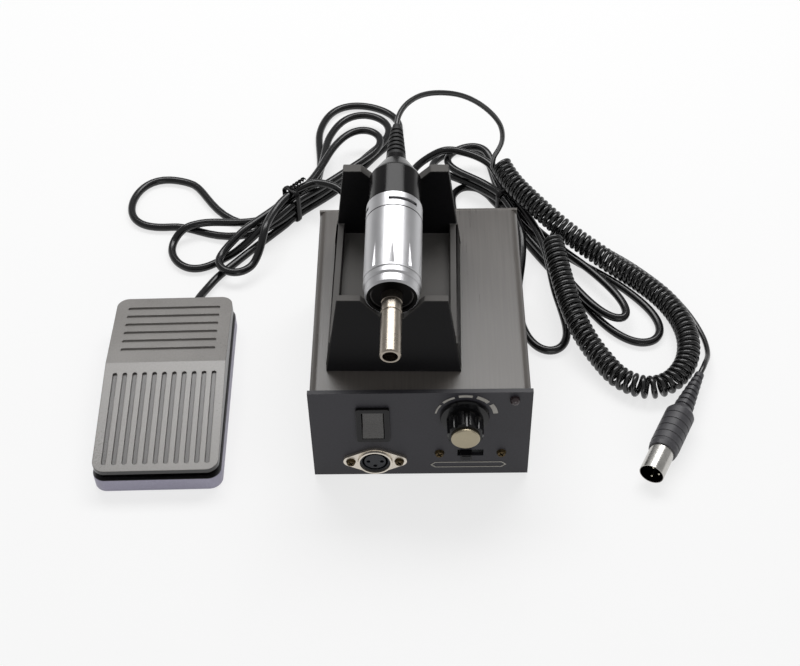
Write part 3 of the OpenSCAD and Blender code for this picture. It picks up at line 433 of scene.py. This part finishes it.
def makeSpring(v):  # compression spring with closed ends, where the solid one stands
    low, high = (np.array(c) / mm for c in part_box("return_spring"))
    centre = (low + high) / 2
    radius = (high[0] - low[0] - v["wire"]) / 2
    turn = np.linspace(0, v["turns"], v["turns"] * v["perTurn"] + 1)
    rise = np.clip((turn - v["closed"]) / (v["turns"] - 2 * v["closed"]), 0, 1)
    end = v["wire"] / 2 + v["clear"]
    line = np.stack([centre[0] + radius * np.cos(2 * math.pi * turn),
                     centre[1] + radius * np.sin(2 * math.pi * turn),
                     low[2] + end + (high[2] - low[2] - 2 * end) * rise], 1)
    made = sweep("returnSpring", line, v["wire"] / 2, v["sides"])
    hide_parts("return_spring")
    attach(made, "unit")
    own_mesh(made)
    return made


tubeValues = {"leadStep": 1.6, "leadSides": 16, "motorStep": 0.55, "motorSides": 12}  # steps in mm
pedalLine = evenly(pedalCordLine(pedalCordValues), tubeValues["leadStep"])
mainsLine = evenly(mainsCordLine(mainsCordValues), tubeValues["leadStep"])
motorLine = evenly(motorCordLine(motorCordValues), tubeValues["motorStep"])

pedalCord = sweep("pedalCord", pedalLine, pedalCordValues["diameter"] / 2, tubeValues["leadSides"])
mainsCord = sweep("mainsCord", mainsLine, mainsCordValues["diameter"] / 2, tubeValues["leadSides"])
motorCord = sweep("motorCord", motorLine, motorCordValues["diameter"] / 2, tubeValues["motorSides"])
pedalTie = makeTie("pedalTie", pedalCordValues, hankValues, tieValues)
mainsTie = makeTie("mainsTie", mainsCordValues, hankValues, tieValues)

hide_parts("pedal_lead", "pedal_hank", "pedal_feed")
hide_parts("mains_lead", "mains_hank", "mains_feed")
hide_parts("motor_lead", "motor_curl", "motor_tail")
for piece in (pedalCord, mainsCord, pedalTie, mainsTie):
    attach(piece, "unit")
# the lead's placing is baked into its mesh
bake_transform(motorCord)

returnSpring = makeSpring(springValues)
print("cords made, mm:", [round(lineLength(line)) for line in (pedalLine, mainsLine, motorLine)])


# finishes
def linear(hexColour):
    parts = [int(hexColour[i:i + 2], 16) / 255 for i in (1, 3, 5)]
    return tuple(c / 12.92 if c <= 0.04045 else ((c + 0.055) / 1.055) ** 2.4 for c in parts) + (1.0,)


def addNode(tree, kind, inputs=None, **settings):
    made = tree.nodes.new(kind)
    for key, value in settings.items():
        setattr(made, key, value)
    for key, value in (inputs or {}).items():
        if isinstance(value, bpy.types.NodeSocket):
            tree.links.new(value, made.inputs[key])
        else:
            made.inputs[key].default_value = value
    return made


def startMaterial(name):
    made = bpy.data.materials.new(name)
    made.use_nodes = True
    made.node_tree.nodes.clear()
    return made, made.node_tree


upwardSpan = {"From Min": 0.5, "From Max": 0.8}  # rise of a face's normal where a mask is 0 and where it is 1
uprightSpan = {"From Min": 0.92, "From Max": 0.75}
treadleValues = {
    "skirtBand": 5.0,  # mm in from its outline
    "ridge": pedalCordValues["pedalPlace"][1] + 8.0,  # where its two slopes meet, mm
}


def treadleSideShade(tree, place):  # 1 on the upright edge of the treadle, where it is painted with shade; 0 on its top and in its grooves
    low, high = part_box("treadle")
    band = treadleValues["skirtBand"] * mm
    middle = (pedalCordValues["pedalPlace"][0] * mm, pedalCordValues["pedalPlace"][1] * mm, 0)
    moved = addNode(tree, "ShaderNodeVectorMath", {0: place.outputs["Object"], 1: middle},
                    operation="SUBTRACT")
    size = addNode(tree, "ShaderNodeVectorMath", {0: moved.outputs[0]}, operation="ABSOLUTE")
    spot = addNode(tree, "ShaderNodeSeparateXYZ", {0: size.outputs[0]})
    wide = addNode(tree, "ShaderNodeMath", {0: spot.outputs["X"], 1: (high[0] - low[0]) / 2 - band},
                   operation="GREATER_THAN")
    far = addNode(tree, "ShaderNodeMath", {0: spot.outputs["Y"], 1: (high[1] - low[1]) / 2 - band},
                  operation="GREATER_THAN")
    outer = addNode(tree, "ShaderNodeMath", {0: wide.outputs[0], 1: far.outputs[0]}, operation="MAXIMUM")
    facing = addNode(tree, "ShaderNodeSeparateXYZ", {0: place.outputs["Normal"]})
    upright = addNode(tree, "ShaderNodeMapRange", {"Value": facing.outputs["Z"], **uprightSpan})
    both = addNode(tree, "ShaderNodeMath", {0: outer.outputs[0], 1: upright.outputs[0]}, operation="MULTIPLY")
    return both.outputs[0]


def upwardFaces(tree, place):  # 1 on faces that look up
    facing = addNode(tree, "ShaderNodeSeparateXYZ", {0: place.outputs["Normal"]})
    share = addNode(tree, "ShaderNodeMapRange", {"Value": facing.outputs["Z"], **upwardSpan})
    return share.outputs[0]


def insideBore(point, axis, radius, depth):  # 1 nearer to an axis than radius, up to depth along it, in mm
    def share(tree, place):
        moved = addNode(tree, "ShaderNodeVectorMath", {0: place.outputs["Object"], 1: tuple(point * mm)},
                        operation="SUBTRACT")
        along = addNode(tree, "ShaderNodeVectorMath", {0: moved.outputs[0], 1: tuple(axis)},
                        operation="DOT_PRODUCT")
        foot = addNode(tree, "ShaderNodeVectorMath", {0: tuple(axis), "Scale": along.outputs["Value"]},
                       operation="SCALE")
        away = addNode(tree, "ShaderNodeVectorMath", {0: moved.outputs[0], 1: foot.outputs[0]},
                       operation="DISTANCE")
        near = addNode(tree, "ShaderNodeMath", {0: away.outputs["Value"], 1: radius * mm},
                       operation="LESS_THAN")
        shallow = addNode(tree, "ShaderNodeMath", {0: along.outputs["Value"], 1: depth * mm},
                          operation="LESS_THAN")
        both = addNode(tree, "ShaderNodeMath", {0: near.outputs[0], 1: shallow.outputs[0]},
                       operation="MULTIPLY")
        return both.outputs[0]
    return share


def inFrontOf(limit):  # 1 in front of a place along y, in mm
    def share(tree, place):
        spot = addNode(tree, "ShaderNodeSeparateXYZ", {0: place.outputs["Object"]})
        front = addNode(tree, "ShaderNodeMath", {0: spot.outputs["Y"], 1: limit * mm}, operation="LESS_THAN")
        return front.outputs[0]
    return share


shadeAndWearValues = {
    "openCrease": 0.97,  # openness at which the painted crease shade starts
    "rubbedFrom": 0.99,  # how well the true and the rounded normal agree where rubbing starts
    "rubbedFull": 0.85,
    "rubbedPatch": 6.0,  # mm
}


def withPaintedShadeAndWear(tree, place, look, colour):  # masks of painted shade and sheen and the barrel's black face, painted shade in creases, and rubbed edges, where the look has them
    layers = []
    # masks: painted shade, painted sheen and the barrel's black face, as each look sets them
    if "mask" in look:
        layers.append((look["mask"](tree, place), look["maskColour"]))
    # painted shade: darker where creases close the surface in, from an occlusion mask
    if "creaseShade" in look:
        reach, creaseShadeColour, full = look["creaseShade"]
        creases = addNode(tree, "ShaderNodeAmbientOcclusion", {"Distance": reach * mm}, samples=8,
                          only_local=True)
        share = addNode(tree, "ShaderNodeMapRange", {"Value": creases.outputs["AO"], "From Max": full,
                                                     "From Min": shadeAndWearValues["openCrease"]})
        if "creaseShadeWhere" in look:
            share = addNode(tree, "ShaderNodeMath", {0: share.outputs[0], 1: look["creaseShadeWhere"](tree, place)},
                            operation="MULTIPLY")
        layers.append((share.outputs[0], creaseShadeColour))
    if "rubbed" in look:
        width, rubbedColour = look["rubbed"]
        flat = addNode(tree, "ShaderNodeNewGeometry")
        bent = addNode(tree, "ShaderNodeBevel", {"Radius": width * mm}, samples=4)
        agree = addNode(tree, "ShaderNodeVectorMath", {0: flat.outputs["Normal"], 1: bent.outputs[0]},
                        operation="DOT_PRODUCT")
        edge = addNode(tree, "ShaderNodeMapRange", {"Value": agree.outputs["Value"],
                                                    "From Min": shadeAndWearValues["rubbedFrom"],
                                                    "From Max": shadeAndWearValues["rubbedFull"]})
        patches = addNode(tree, "ShaderNodeTexNoise", {"Vector": place.outputs["Object"], "Detail": 3.0,
                                                       "Scale": 1 / (shadeAndWearValues["rubbedPatch"] * mm)})
        share = addNode(tree, "ShaderNodeMath", {0: edge.outputs[0], 1: patches.outputs[0]},
                        operation="MULTIPLY")
        layers.append((share.outputs[0], rubbedColour))
    for share, hexColour in layers:
        mixed = addNode(tree, "ShaderNodeMix", {0: share, 6: colour, 7: linear(hexColour)}, data_type="RGBA")
        colour = mixed.outputs[2]
    return colour


def finishMaterial(tree, look, inputs):
    sockets = {"metal": "Metallic", "ior": "IOR", "spec": "Specular IOR Level"}
    inputs.update({sockets[k]: look[k] for k in sockets if k in look})
    shader = addNode(tree, "ShaderNodeBsdfPrincipled", inputs)
    addNode(tree, "ShaderNodeOutputMaterial", {"Surface": shader.outputs[0]})


noiseSpan = {"From Min": 0.7, "From Max": 1.3}  # most of what two noises added together reach
grainDepth = 0.05  # mm
latheDepth = 0.02
hazeSize = 11.0  # mm across a patch of handling haze on metal


def grained(name, look):  # two colours in fine grain and broad clouds
    made, tree = startMaterial(name)
    place = addNode(tree, "ShaderNodeTexCoord")
    spread = addNode(tree, "ShaderNodeMapping", {"Vector": place.outputs["Object"],
                                                 "Scale": look.get("stretch", (1, 1, 1))})
    grain = addNode(tree, "ShaderNodeTexNoise", {"Vector": spread.outputs[0], "Detail": 3.0, "Roughness": 0.6,
                                                 "Scale": 1 / (look["grain"] * mm)})
    cloud = addNode(tree, "ShaderNodeTexNoise", {"Vector": place.outputs["Object"], "Detail": 2.0,
                                                 "Scale": 1 / (look.get("cloud", 40.0) * mm)})
    both = addNode(tree, "ShaderNodeMath", {0: grain.outputs[0], 1: cloud.outputs[0]}, operation="ADD")
    share = addNode(tree, "ShaderNodeMapRange", {"Value": both.outputs[0], **noiseSpan})
    colour = addNode(tree, "ShaderNodeMix", {0: share.outputs[0], 6: linear(look["dark"]),
                                             7: linear(look["light"])}, data_type="RGBA")
    rough = addNode(tree, "ShaderNodeMapRange", {"Value": both.outputs[0], **noiseSpan,
                                                 "To Min": look["rough"][0], "To Max": look["rough"][1]})
    relief = {"Height": grain.outputs[0], "Strength": look["bump"], "Distance": grainDepth * mm}
    if "round" in look:  # moulded edges that catch the light
        soft = addNode(tree, "ShaderNodeBevel", {"Radius": look["round"] * mm}, samples=6)
        relief["Normal"] = soft.outputs[0]
    bump = addNode(tree, "ShaderNodeBump", relief)
    finishMaterial(tree, look, {"Base Color": withPaintedShadeAndWear(tree, place, look, colour.outputs[2]),
                                "Roughness": rough.outputs[0], "Normal": bump.outputs[0]})
    return made


def turned(name, look):  # metal with lathe lines along an axis, or with rings where the look has a centre
    made, tree = startMaterial(name)
    place = addNode(tree, "ShaderNodeTexCoord")
    if "centre" in look:
        flat = addNode(tree, "ShaderNodeVectorMath", {0: place.outputs["Object"], 1: (1, 0, 1)},
                       operation="MULTIPLY")
        mark = addNode(tree, "ShaderNodeVectorMath", {0: flat.outputs[0], 1: look["centre"]},
                       operation="DISTANCE")
    else:
        mark = addNode(tree, "ShaderNodeVectorMath", {0: place.outputs["Object"], 1: look["axis"]},
                       operation="DOT_PRODUCT")
    lines = addNode(tree, "ShaderNodeTexNoise", {"W": mark.outputs["Value"], "Detail": 2.0,
                                                 "Scale": 1 / (look["grain"] * mm)}, noise_dimensions="1D")
    haze = addNode(tree, "ShaderNodeTexNoise", {"Vector": place.outputs["Object"], "Detail": 3.0,
                                                "Scale": 1 / (hazeSize * mm)})
    colour = addNode(tree, "ShaderNodeMix", {0: haze.outputs[0], 6: linear(look["dark"]),
                                             7: linear(look["light"])}, data_type="RGBA")
    worn = addNode(tree, "ShaderNodeMath", {0: lines.outputs[0], 1: haze.outputs[0]}, operation="ADD")
    rough = addNode(tree, "ShaderNodeMapRange", {"Value": worn.outputs[0], **noiseSpan,
                                                 "To Min": look["rough"][0], "To Max": look["rough"][1]})
    bump = addNode(tree, "ShaderNodeBump", {"Height": lines.outputs[0], "Strength": look["bump"],
                                            "Distance": latheDepth * mm})
    finishMaterial(tree, {"metal": 1.0}, {"Base Color": withPaintedShadeAndWear(tree, place, look, colour.outputs[2]),
                                          "Roughness": rough.outputs[0], "Normal": bump.outputs[0]})
    return made


knobSpot = (22.3, 48.3)  # mm across from the panel's middle, and up
knobCentre = ((unitPlace[0] + knobSpot[0]) * mm, 0, knobSpot[1] * mm)
# grain, cloud, round and reaches are in mm; creaseShade, a painted shade in creases, is reach, colour and the
# openness at which it is full;
# moulded, sprayed and plated grains are really a few tenths of a millimetre, and lathe lines finer still:
# they are drawn as coarse as they need to show
looks = {
    # satin stove enamel over brushed sheet: taupe grey, the brush lines run front to back and show faintly,
    # drawn 1.6 mm apart because the real ones are too fine to show
    "brushedEnamelSheet": {
        "on": ["top_cover", "rear_panel"], "dark": "#4e4a47", "light": "#5a5652", "grain": 1.6,
        "stretch": (1, 0.03, 1), "cloud": 60, "rough": (0.27, 0.36), "bump": 0.07, "ior": 1.5,
        "rubbed": (0.8, "#8a857e")},
    # black textured powder coat on the panel: charcoal with a blue cast and a fine pebbled grain
    "charcoalPowderCoat": {
        "on": ["front_panel"], "dark": "#242327", "light": "#302f34", "grain": 1.1, "cloud": 50,
        "rough": (0.36, 0.5), "bump": 0.12, "ior": 1.5, "spec": 0.3},
    # zinc plated sheet, dull with a broad spangle
    "zincPlatedSheet": {
        "on": ["base_chassis", "speed_pot", "direction_switch"], "dark": "#8b8d8e", "light": "#a9abab",
        "grain": 5, "cloud": 30, "rough": (0.35, 0.5), "bump": 0.05, "metal": 1.0},
    # moulded black ABS with a spark-eroded grain: deep black, soft grey highlights, rubbed paler at its edges
    "mouldedBlackAbs": {
        "on": ["rocker_housing", "direction_slider", "fuse_holder", "micro_switch", "mains_plug", "pedalTie",
               "mainsTie"], "dark": "#0c0c0d", "light": "#151416", "grain": 0.9, "rough": (0.3, 0.42),
        "bump": 0.12, "ior": 1.53, "spec": 0.2, "rubbed": (0.7, "#3a3837")},
    # the same ABS on the cradle, its upward faces painted grey as the sheen of the light from above
    "dustyBlackAbs": {
        "on": ["cradle"], "dark": "#0b0b0c", "light": "#131214", "grain": 0.9, "rough": (0.34, 0.46),
        "bump": 0.12, "ior": 1.53, "spec": 0.12, "mask": upwardFaces, "maskColour": "#5a5856",
        "rubbed": (0.7, "#6a6866")},
    # turned black acetal of the motor's rear cap: smoother than the moulded parts, with one clear streak
    "turnedBlackAcetal": {
        "on": ["rear_cap"], "dark": "#0c0b0c", "light": "#141314", "grain": 0.8, "rough": (0.15, 0.2),
        "bump": 0.02, "ior": 1.48, "spec": 0.2},
    # dark blue-grey phenolic inserts that carry the contacts
    "mouldedPhenolicInsert": {
        "on": ["socket_insert", "plug_insert"], "dark": "#14161b", "light": "#20232a", "grain": 0.8,
        "rough": (0.4, 0.55), "bump": 0.12, "ior": 1.6, "spec": 0.3},
    # polished black phenolic: deep black with sharp highlights
    "polishedPhenolic": {
        "on": ["speed_knob"], "dark": "#070708", "light": "#0f0f11", "grain": 3, "rough": (0.12, 0.22),
        "bump": 0.03, "ior": 1.6, "spec": 0.25},
    # soft black rubber: matt, its ribs darkened with painted shade
    "softBlackRubber": {
        "on": ["rubber_feet", "mains_gland", "pedal_gland", "cord_boot", "pedal_bush"], "dark": "#111112",
        "light": "#1b1b1c", "grain": 1.2, "rough": (0.46, 0.6), "bump": 0.12, "ior": 1.5, "spec": 0.35,
        "creaseShade": (1.5, "#060606", 0.55)},
    # extruded PVC jacket: black with a long soft highlight
    "extrudedPvcJacket": {
        "on": ["pedalCord", "mainsCord"], "dark": "#0b0b0c", "light": "#131315", "grain": 1.5,
        "rough": (0.17, 0.24), "bump": 0.03, "ior": 1.53, "spec": 0.4},
    # extruded polyurethane jacket of the curly cord: black, each turn with a clear grey highlight
    "curlyCordJacket": {
        "on": ["motorCord"], "dark": "#060607", "light": "#0c0c0d", "grain": 1.5, "rough": (0.21, 0.27),
        "bump": 0.03, "ior": 1.53, "spec": 0.62},
    # grey-black PVC grip of the round plug, dull from handling, its creases darkened with painted shade
    "handledPvcGrip": {
        "on": ["plug_grip"], "dark": "#363539", "light": "#454448", "grain": 1.2, "rough": (0.4, 0.52),
        "bump": 0.1, "ior": 1.53, "creaseShade": (1.0, "#161517", 0.55)},
    # moulded nylon rocker, grey-black and handled smooth
    "handledBlackNylon": {
        "on": ["power_rocker"], "dark": "#343231", "light": "#403e3c", "grain": 1.0, "rough": (0.22, 0.32),
        "bump": 0.05, "ior": 1.53},
    # satin nickel plate on a die cast flange: warm and pale, with blurred reflections
    "satinNickelPlate": {
        "on": ["socket_shell"], "dark": "#d6cec1", "light": "#e6dfd4", "grain": 2.5, "rough": (0.36, 0.46),
        "bump": 0.03, "metal": 1.0},
    # nickel plate on the plug's drawn shell: bright outside, dark inside where little light gets in
    "plugNickelShell": {
        "on": ["plug_shell"], "dark": "#b9b7b3", "light": "#cac8c4", "grain": 2.5, "rough": (0.2, 0.3),
        "bump": 0.03, "metal": 1.0, "maskColour": "#1d1b1a",
        "mask": insideBore(plugPlace, -plugAxis, radius=6.3, depth=90)},
    # bronzed steel screws, brown-black, their slots darkened with painted shade
    "bronzedSteel": {
        "on": ["cover_screws", "panel_screws"], "dark": "#3a3125", "light": "#57492f", "grain": 1.2,
        "rough": (0.28, 0.42), "bump": 0.08, "metal": 1.0, "creaseShade": (0.8, "#120f0b", 0.55)},
    # tinned contacts: bright and slightly warm
    "tinnedContacts": {
        "on": ["socket_contacts", "plug_pins"], "dark": "#c3bda9", "light": "#ddd8c8", "grain": 1.2,
        "rough": (0.18, 0.3), "bump": 0.04, "metal": 1.0},
    # enamelled copper wire, orange brown with a varnish gloss
    "enamelledCopper": {
        "on": ["transformer_coil", "armature", "commutator"], "dark": "#8a4a22", "light": "#a9632f",
        "grain": 0.8, "rough": (0.25, 0.4), "bump": 0.25, "metal": 1.0},
    # varnished core plates, sheet upon sheet
    "varnishedLaminations": {
        "on": ["transformer_core"], "dark": "#3f4245", "light": "#575b5e", "grain": 1.0,
        "stretch": (1, 0.02, 0.02), "rough": (0.4, 0.55), "bump": 0.3, "metal": 1.0},
    # solder mask over copper: glossy green
    "solderMask": {
        "on": ["control_board"], "dark": "#1f4a2c", "light": "#2c6339", "grain": 4, "rough": (0.25, 0.4),
        "bump": 0.05, "ior": 1.55},
    # screen-printed ink: off-white and slightly uneven
    "screenInk": {
        "on": ["panel_marks"], "dark": "#8f8c86", "light": "#aaa7a0", "grain": 0.5, "rough": (0.5, 0.65),
        "bump": 0.1, "ior": 1.5},
    # smoked acrylic lens, unlit: dark with a sharp white highlight
    "smokedAcrylic": {
        "on": ["indicator_lamp"], "dark": "#2a2224", "light": "#3a2f31", "grain": 3, "rough": (0.06, 0.12),
        "bump": 0.02, "ior": 1.49},
    # sintered ferrite, dull iron black
    "sinteredFerrite": {
        "on": ["magnets"], "dark": "#2c2d2f", "light": "#3d3f41", "grain": 0.6, "rough": (0.5, 0.7),
        "bump": 0.2, "ior": 1.8},
    # pressed carbon, sooty
    "pressedCarbon": {
        "on": ["brushes"], "dark": "#161617", "light": "#242426", "grain": 0.4, "rough": (0.55, 0.75),
        "bump": 0.2, "ior": 1.6},
    # warm grey ABS of the treadle with a fine leathery grain; its upright sides are painted near-black as
    # shade, and its grooves in front of the ridge are darkened with painted shade and dirt
    "mouldedGreyAbs": {
        "on": ["treadle"], "dark": "#7b7875", "light": "#898683", "grain": 0.9, "rough": (0.27, 0.35),
        "bump": 0.08, "ior": 1.6, "round": 0.6, "mask": treadleSideShade, "maskColour": "#0f0e10",
        "creaseShade": (3.5, "#403d3b", 0.88), "creaseShadeWhere": inFrontOf(treadleValues["ridge"])},
    # lilac grey ABS of the pedal's base; its upward faces, the rim under the treadle, are painted near-black
    # as the shade of the gap
    "mouldedLilacAbs": {
        "on": ["pedal_base"], "dark": "#918ea0", "light": "#a5a2b4", "grain": 0.9, "rough": (0.42, 0.58),
        "bump": 0.12, "ior": 1.53, "mask": upwardFaces, "maskColour": "#161518"},
    # red acetal button of the switch
    "redAcetal": {
        "on": ["switch_button"], "dark": "#96281f", "light": "#b53a2e", "grain": 1.0, "rough": (0.3, 0.45),
        "bump": 0.05, "ior": 1.48},
    # polished stainless barrel, hazed by handling to a satin shine; its front recess painted near-black for
    # its black face and the shade in it, and its creases darkened with painted shade
    "polishedStainless": {
        "on": ["motor_barrel", "end_ring"], "axis": tuple(motorAxis), "dark": "#b6b6b8", "light": "#c8c8ca",
        "grain": 0.35, "rough": (0.34, 0.43), "bump": 0.01, "maskColour": "#0d0c0c",
        "mask": insideBore(motorFace, motorAxis, radius=12.4, depth=2.6), "creaseShade": (0.8, "#6a6867", 0.55)},
    # turned steel spigot, warmer, its grooves darkened with painted shade
    "turnedSteel": {
        "on": ["nose_spigot"], "axis": tuple(motorAxis), "dark": "#938a7f", "light": "#aba398", "grain": 0.5,
        "rough": (0.26, 0.36), "bump": 0.04, "creaseShade": (0.8, "#3a342d", 0.55)},
    # ground steel of shafts and springs: bright, with fine lines across them
    "groundSteel": {
        "on": ["pot_shaft", "bearings", "rotor_shaft", "brush_springs", "hinge_pin", "return_spring",
               "returnSpring"], "axis": (0.6, 0.5, 0.6), "dark": "#b4b6b8", "light": "#cbcdce", "grain": 0.8,
        "rough": (0.2, 0.32), "bump": 0.05},
    # spun champagne aluminium disc: fine rings round its middle
    "spunChampagne": {
        "on": ["knob_cap"], "centre": knobCentre, "dark": "#938a76", "light": "#a69d88", "grain": 0.6,
        "rough": (0.28, 0.42), "bump": 0.1},
}
pieces = {**nodes, "pedalCord": pedalCord, "mainsCord": mainsCord, "motorCord": motorCord,
          "pedalTie": pedalTie, "mainsTie": mainsTie, "returnSpring": returnSpring}
for finish, look in looks.items():
    dress = turned if "axis" in look or "centre" in look else grained
    made = dress(finish, look)
    for name in look["on"]:
        pieces[name].data.materials.clear()
        pieces[name].data.materials.append(made)
print("materials on")

# softened moulded edges
edgeRounds = {"cradle": 0.5, "rocker_housing": 0.3, "power_rocker": 0.35, "pedal_base": 0.5,
              "mains_plug": 0.5, "direction_slider": 0.2}  # mm
roundValues = {"weld": 0.002, "flat": 0.5, "segments": 3, "sharp": 35.0}  # mm, degrees, count, degrees
for name, width in edgeRounds.items():
    weld = nodes[name].modifiers.new("weld", "WELD")
    weld.merge_threshold = roundValues["weld"] * mm
    flatten = nodes[name].modifiers.new("flatten", "DECIMATE")  # one face on each plane, for clean rounds
    flatten.decimate_type = "DISSOLVE"
    flatten.angle_limit = math.radians(roundValues["flat"])
    soften = nodes[name].modifiers.new("soften", "BEVEL")
    soften.use_clamp_overlap = False
    soften.width = width * mm
    soften.segments = roundValues["segments"]
    soften.limit_method = "ANGLE"
    soften.angle_limit = math.radians(roundValues["sharp"])
    soften.harden_normals = True
print("edges softened")

# floor, world and lamps, in metres and watts
floorValues = {
    "half": 30.0,
    "drop": 0.0003,  # below the table, so that no face lies in it
    "paper": "#f6f6f6",
    "glow": 0.72,  # share of it that shows as plain white
}
worldValues = {
    "horizon": 0.45,
    "zenith": 0.38,
    "full": 0.7,  # height at which the zenith's level is reached
}
lampAim = (0.05, 0.02, 0.05)
lampValues = {
    "keyLamp": {"place": (0.08, 0.63, 1.03), "size": (1.2, 0.42), "power": 10.0},  # wide, high and behind
    "frontLamp": {"place": (0.3, -1.4, 0.34), "size": (1.0, 0.5), "power": 3.0},
}


def makeFloor(values):
    half, level = values["half"], -values["drop"]
    mesh = bpy.data.meshes.new("floor")
    corners = [(-half, -half, level), (half, -half, level), (half, half, level), (-half, half, level)]
    mesh.from_pydata(corners, [], [(0, 1, 2, 3)])
    made = bpy.data.objects.new("floor", mesh)
    bpy.context.scene.collection.objects.link(made)
    matt, tree = startMaterial("paleMattFloor")
    paper = addNode(tree, "ShaderNodeBsdfDiffuse", {"Color": linear(values["paper"])})
    glow = addNode(tree, "ShaderNodeEmission", {"Color": (1, 1, 1, 1), "Strength": 1.0})
    rays = addNode(tree, "ShaderNodeLightPath")
    seen = addNode(tree, "ShaderNodeMath", {0: rays.outputs["Is Camera Ray"],
                                            1: rays.outputs["Is Glossy Ray"]}, operation="MAXIMUM")
    seenToo = addNode(tree, "ShaderNodeMath", {0: seen.outputs[0], 1: rays.outputs["Is Transmission Ray"]},
                      operation="MAXIMUM")
    share = addNode(tree, "ShaderNodeMath", {0: seenToo.outputs[0], 1: values["glow"]}, operation="MULTIPLY")
    both = addNode(tree, "ShaderNodeMixShader", {0: share.outputs[0], 1: paper.outputs[0],
                                                 2: glow.outputs[0]})
    addNode(tree, "ShaderNodeOutputMaterial", {"Surface": both.outputs[0]})
    mesh.materials.append(matt)


def makeWorld(values):  # a plain grey room, a little paler at the horizon
    world = bpy.data.worlds.new("studio")
    bpy.context.scene.world = world
    world.use_nodes = True
    tree = world.node_tree
    tree.nodes.clear()
    place = addNode(tree, "ShaderNodeTexCoord")
    parts = addNode(tree, "ShaderNodeSeparateXYZ", {0: place.outputs["Generated"]})
    level = addNode(tree, "ShaderNodeMapRange", {"Value": parts.outputs["Z"], "From Min": 0.0,
                                                 "From Max": values["full"], "To Min": values["horizon"],
                                                 "To Max": values["zenith"]})
    sky = addNode(tree, "ShaderNodeBackground", {"Color": (1, 1, 1, 1), "Strength": level.outputs[0]})
    addNode(tree, "ShaderNodeOutputWorld", {"Surface": sky.outputs[0]})


def makeLamp(name, lamp):
    data = bpy.data.lights.new(name, "AREA")
    data.energy = lamp["power"]
    data.shape = "RECTANGLE"
    data.size, data.size_y = lamp["size"]
    made = bpy.data.objects.new(name, data)
    bpy.context.scene.collection.objects.link(made)
    made.location = lamp["place"]
    made.visible_camera = False
    aim = Vector(lampAim) - made.location
    made.rotation_euler = aim.to_track_quat("-Z", "Y").to_euler()


makeFloor(floorValues)
makeWorld(worldValues)
for name, lamp in lampValues.items():
    makeLamp(name, lamp)
bpy.context.scene.view_settings.view_transform = "Standard"
print("stage and light set")
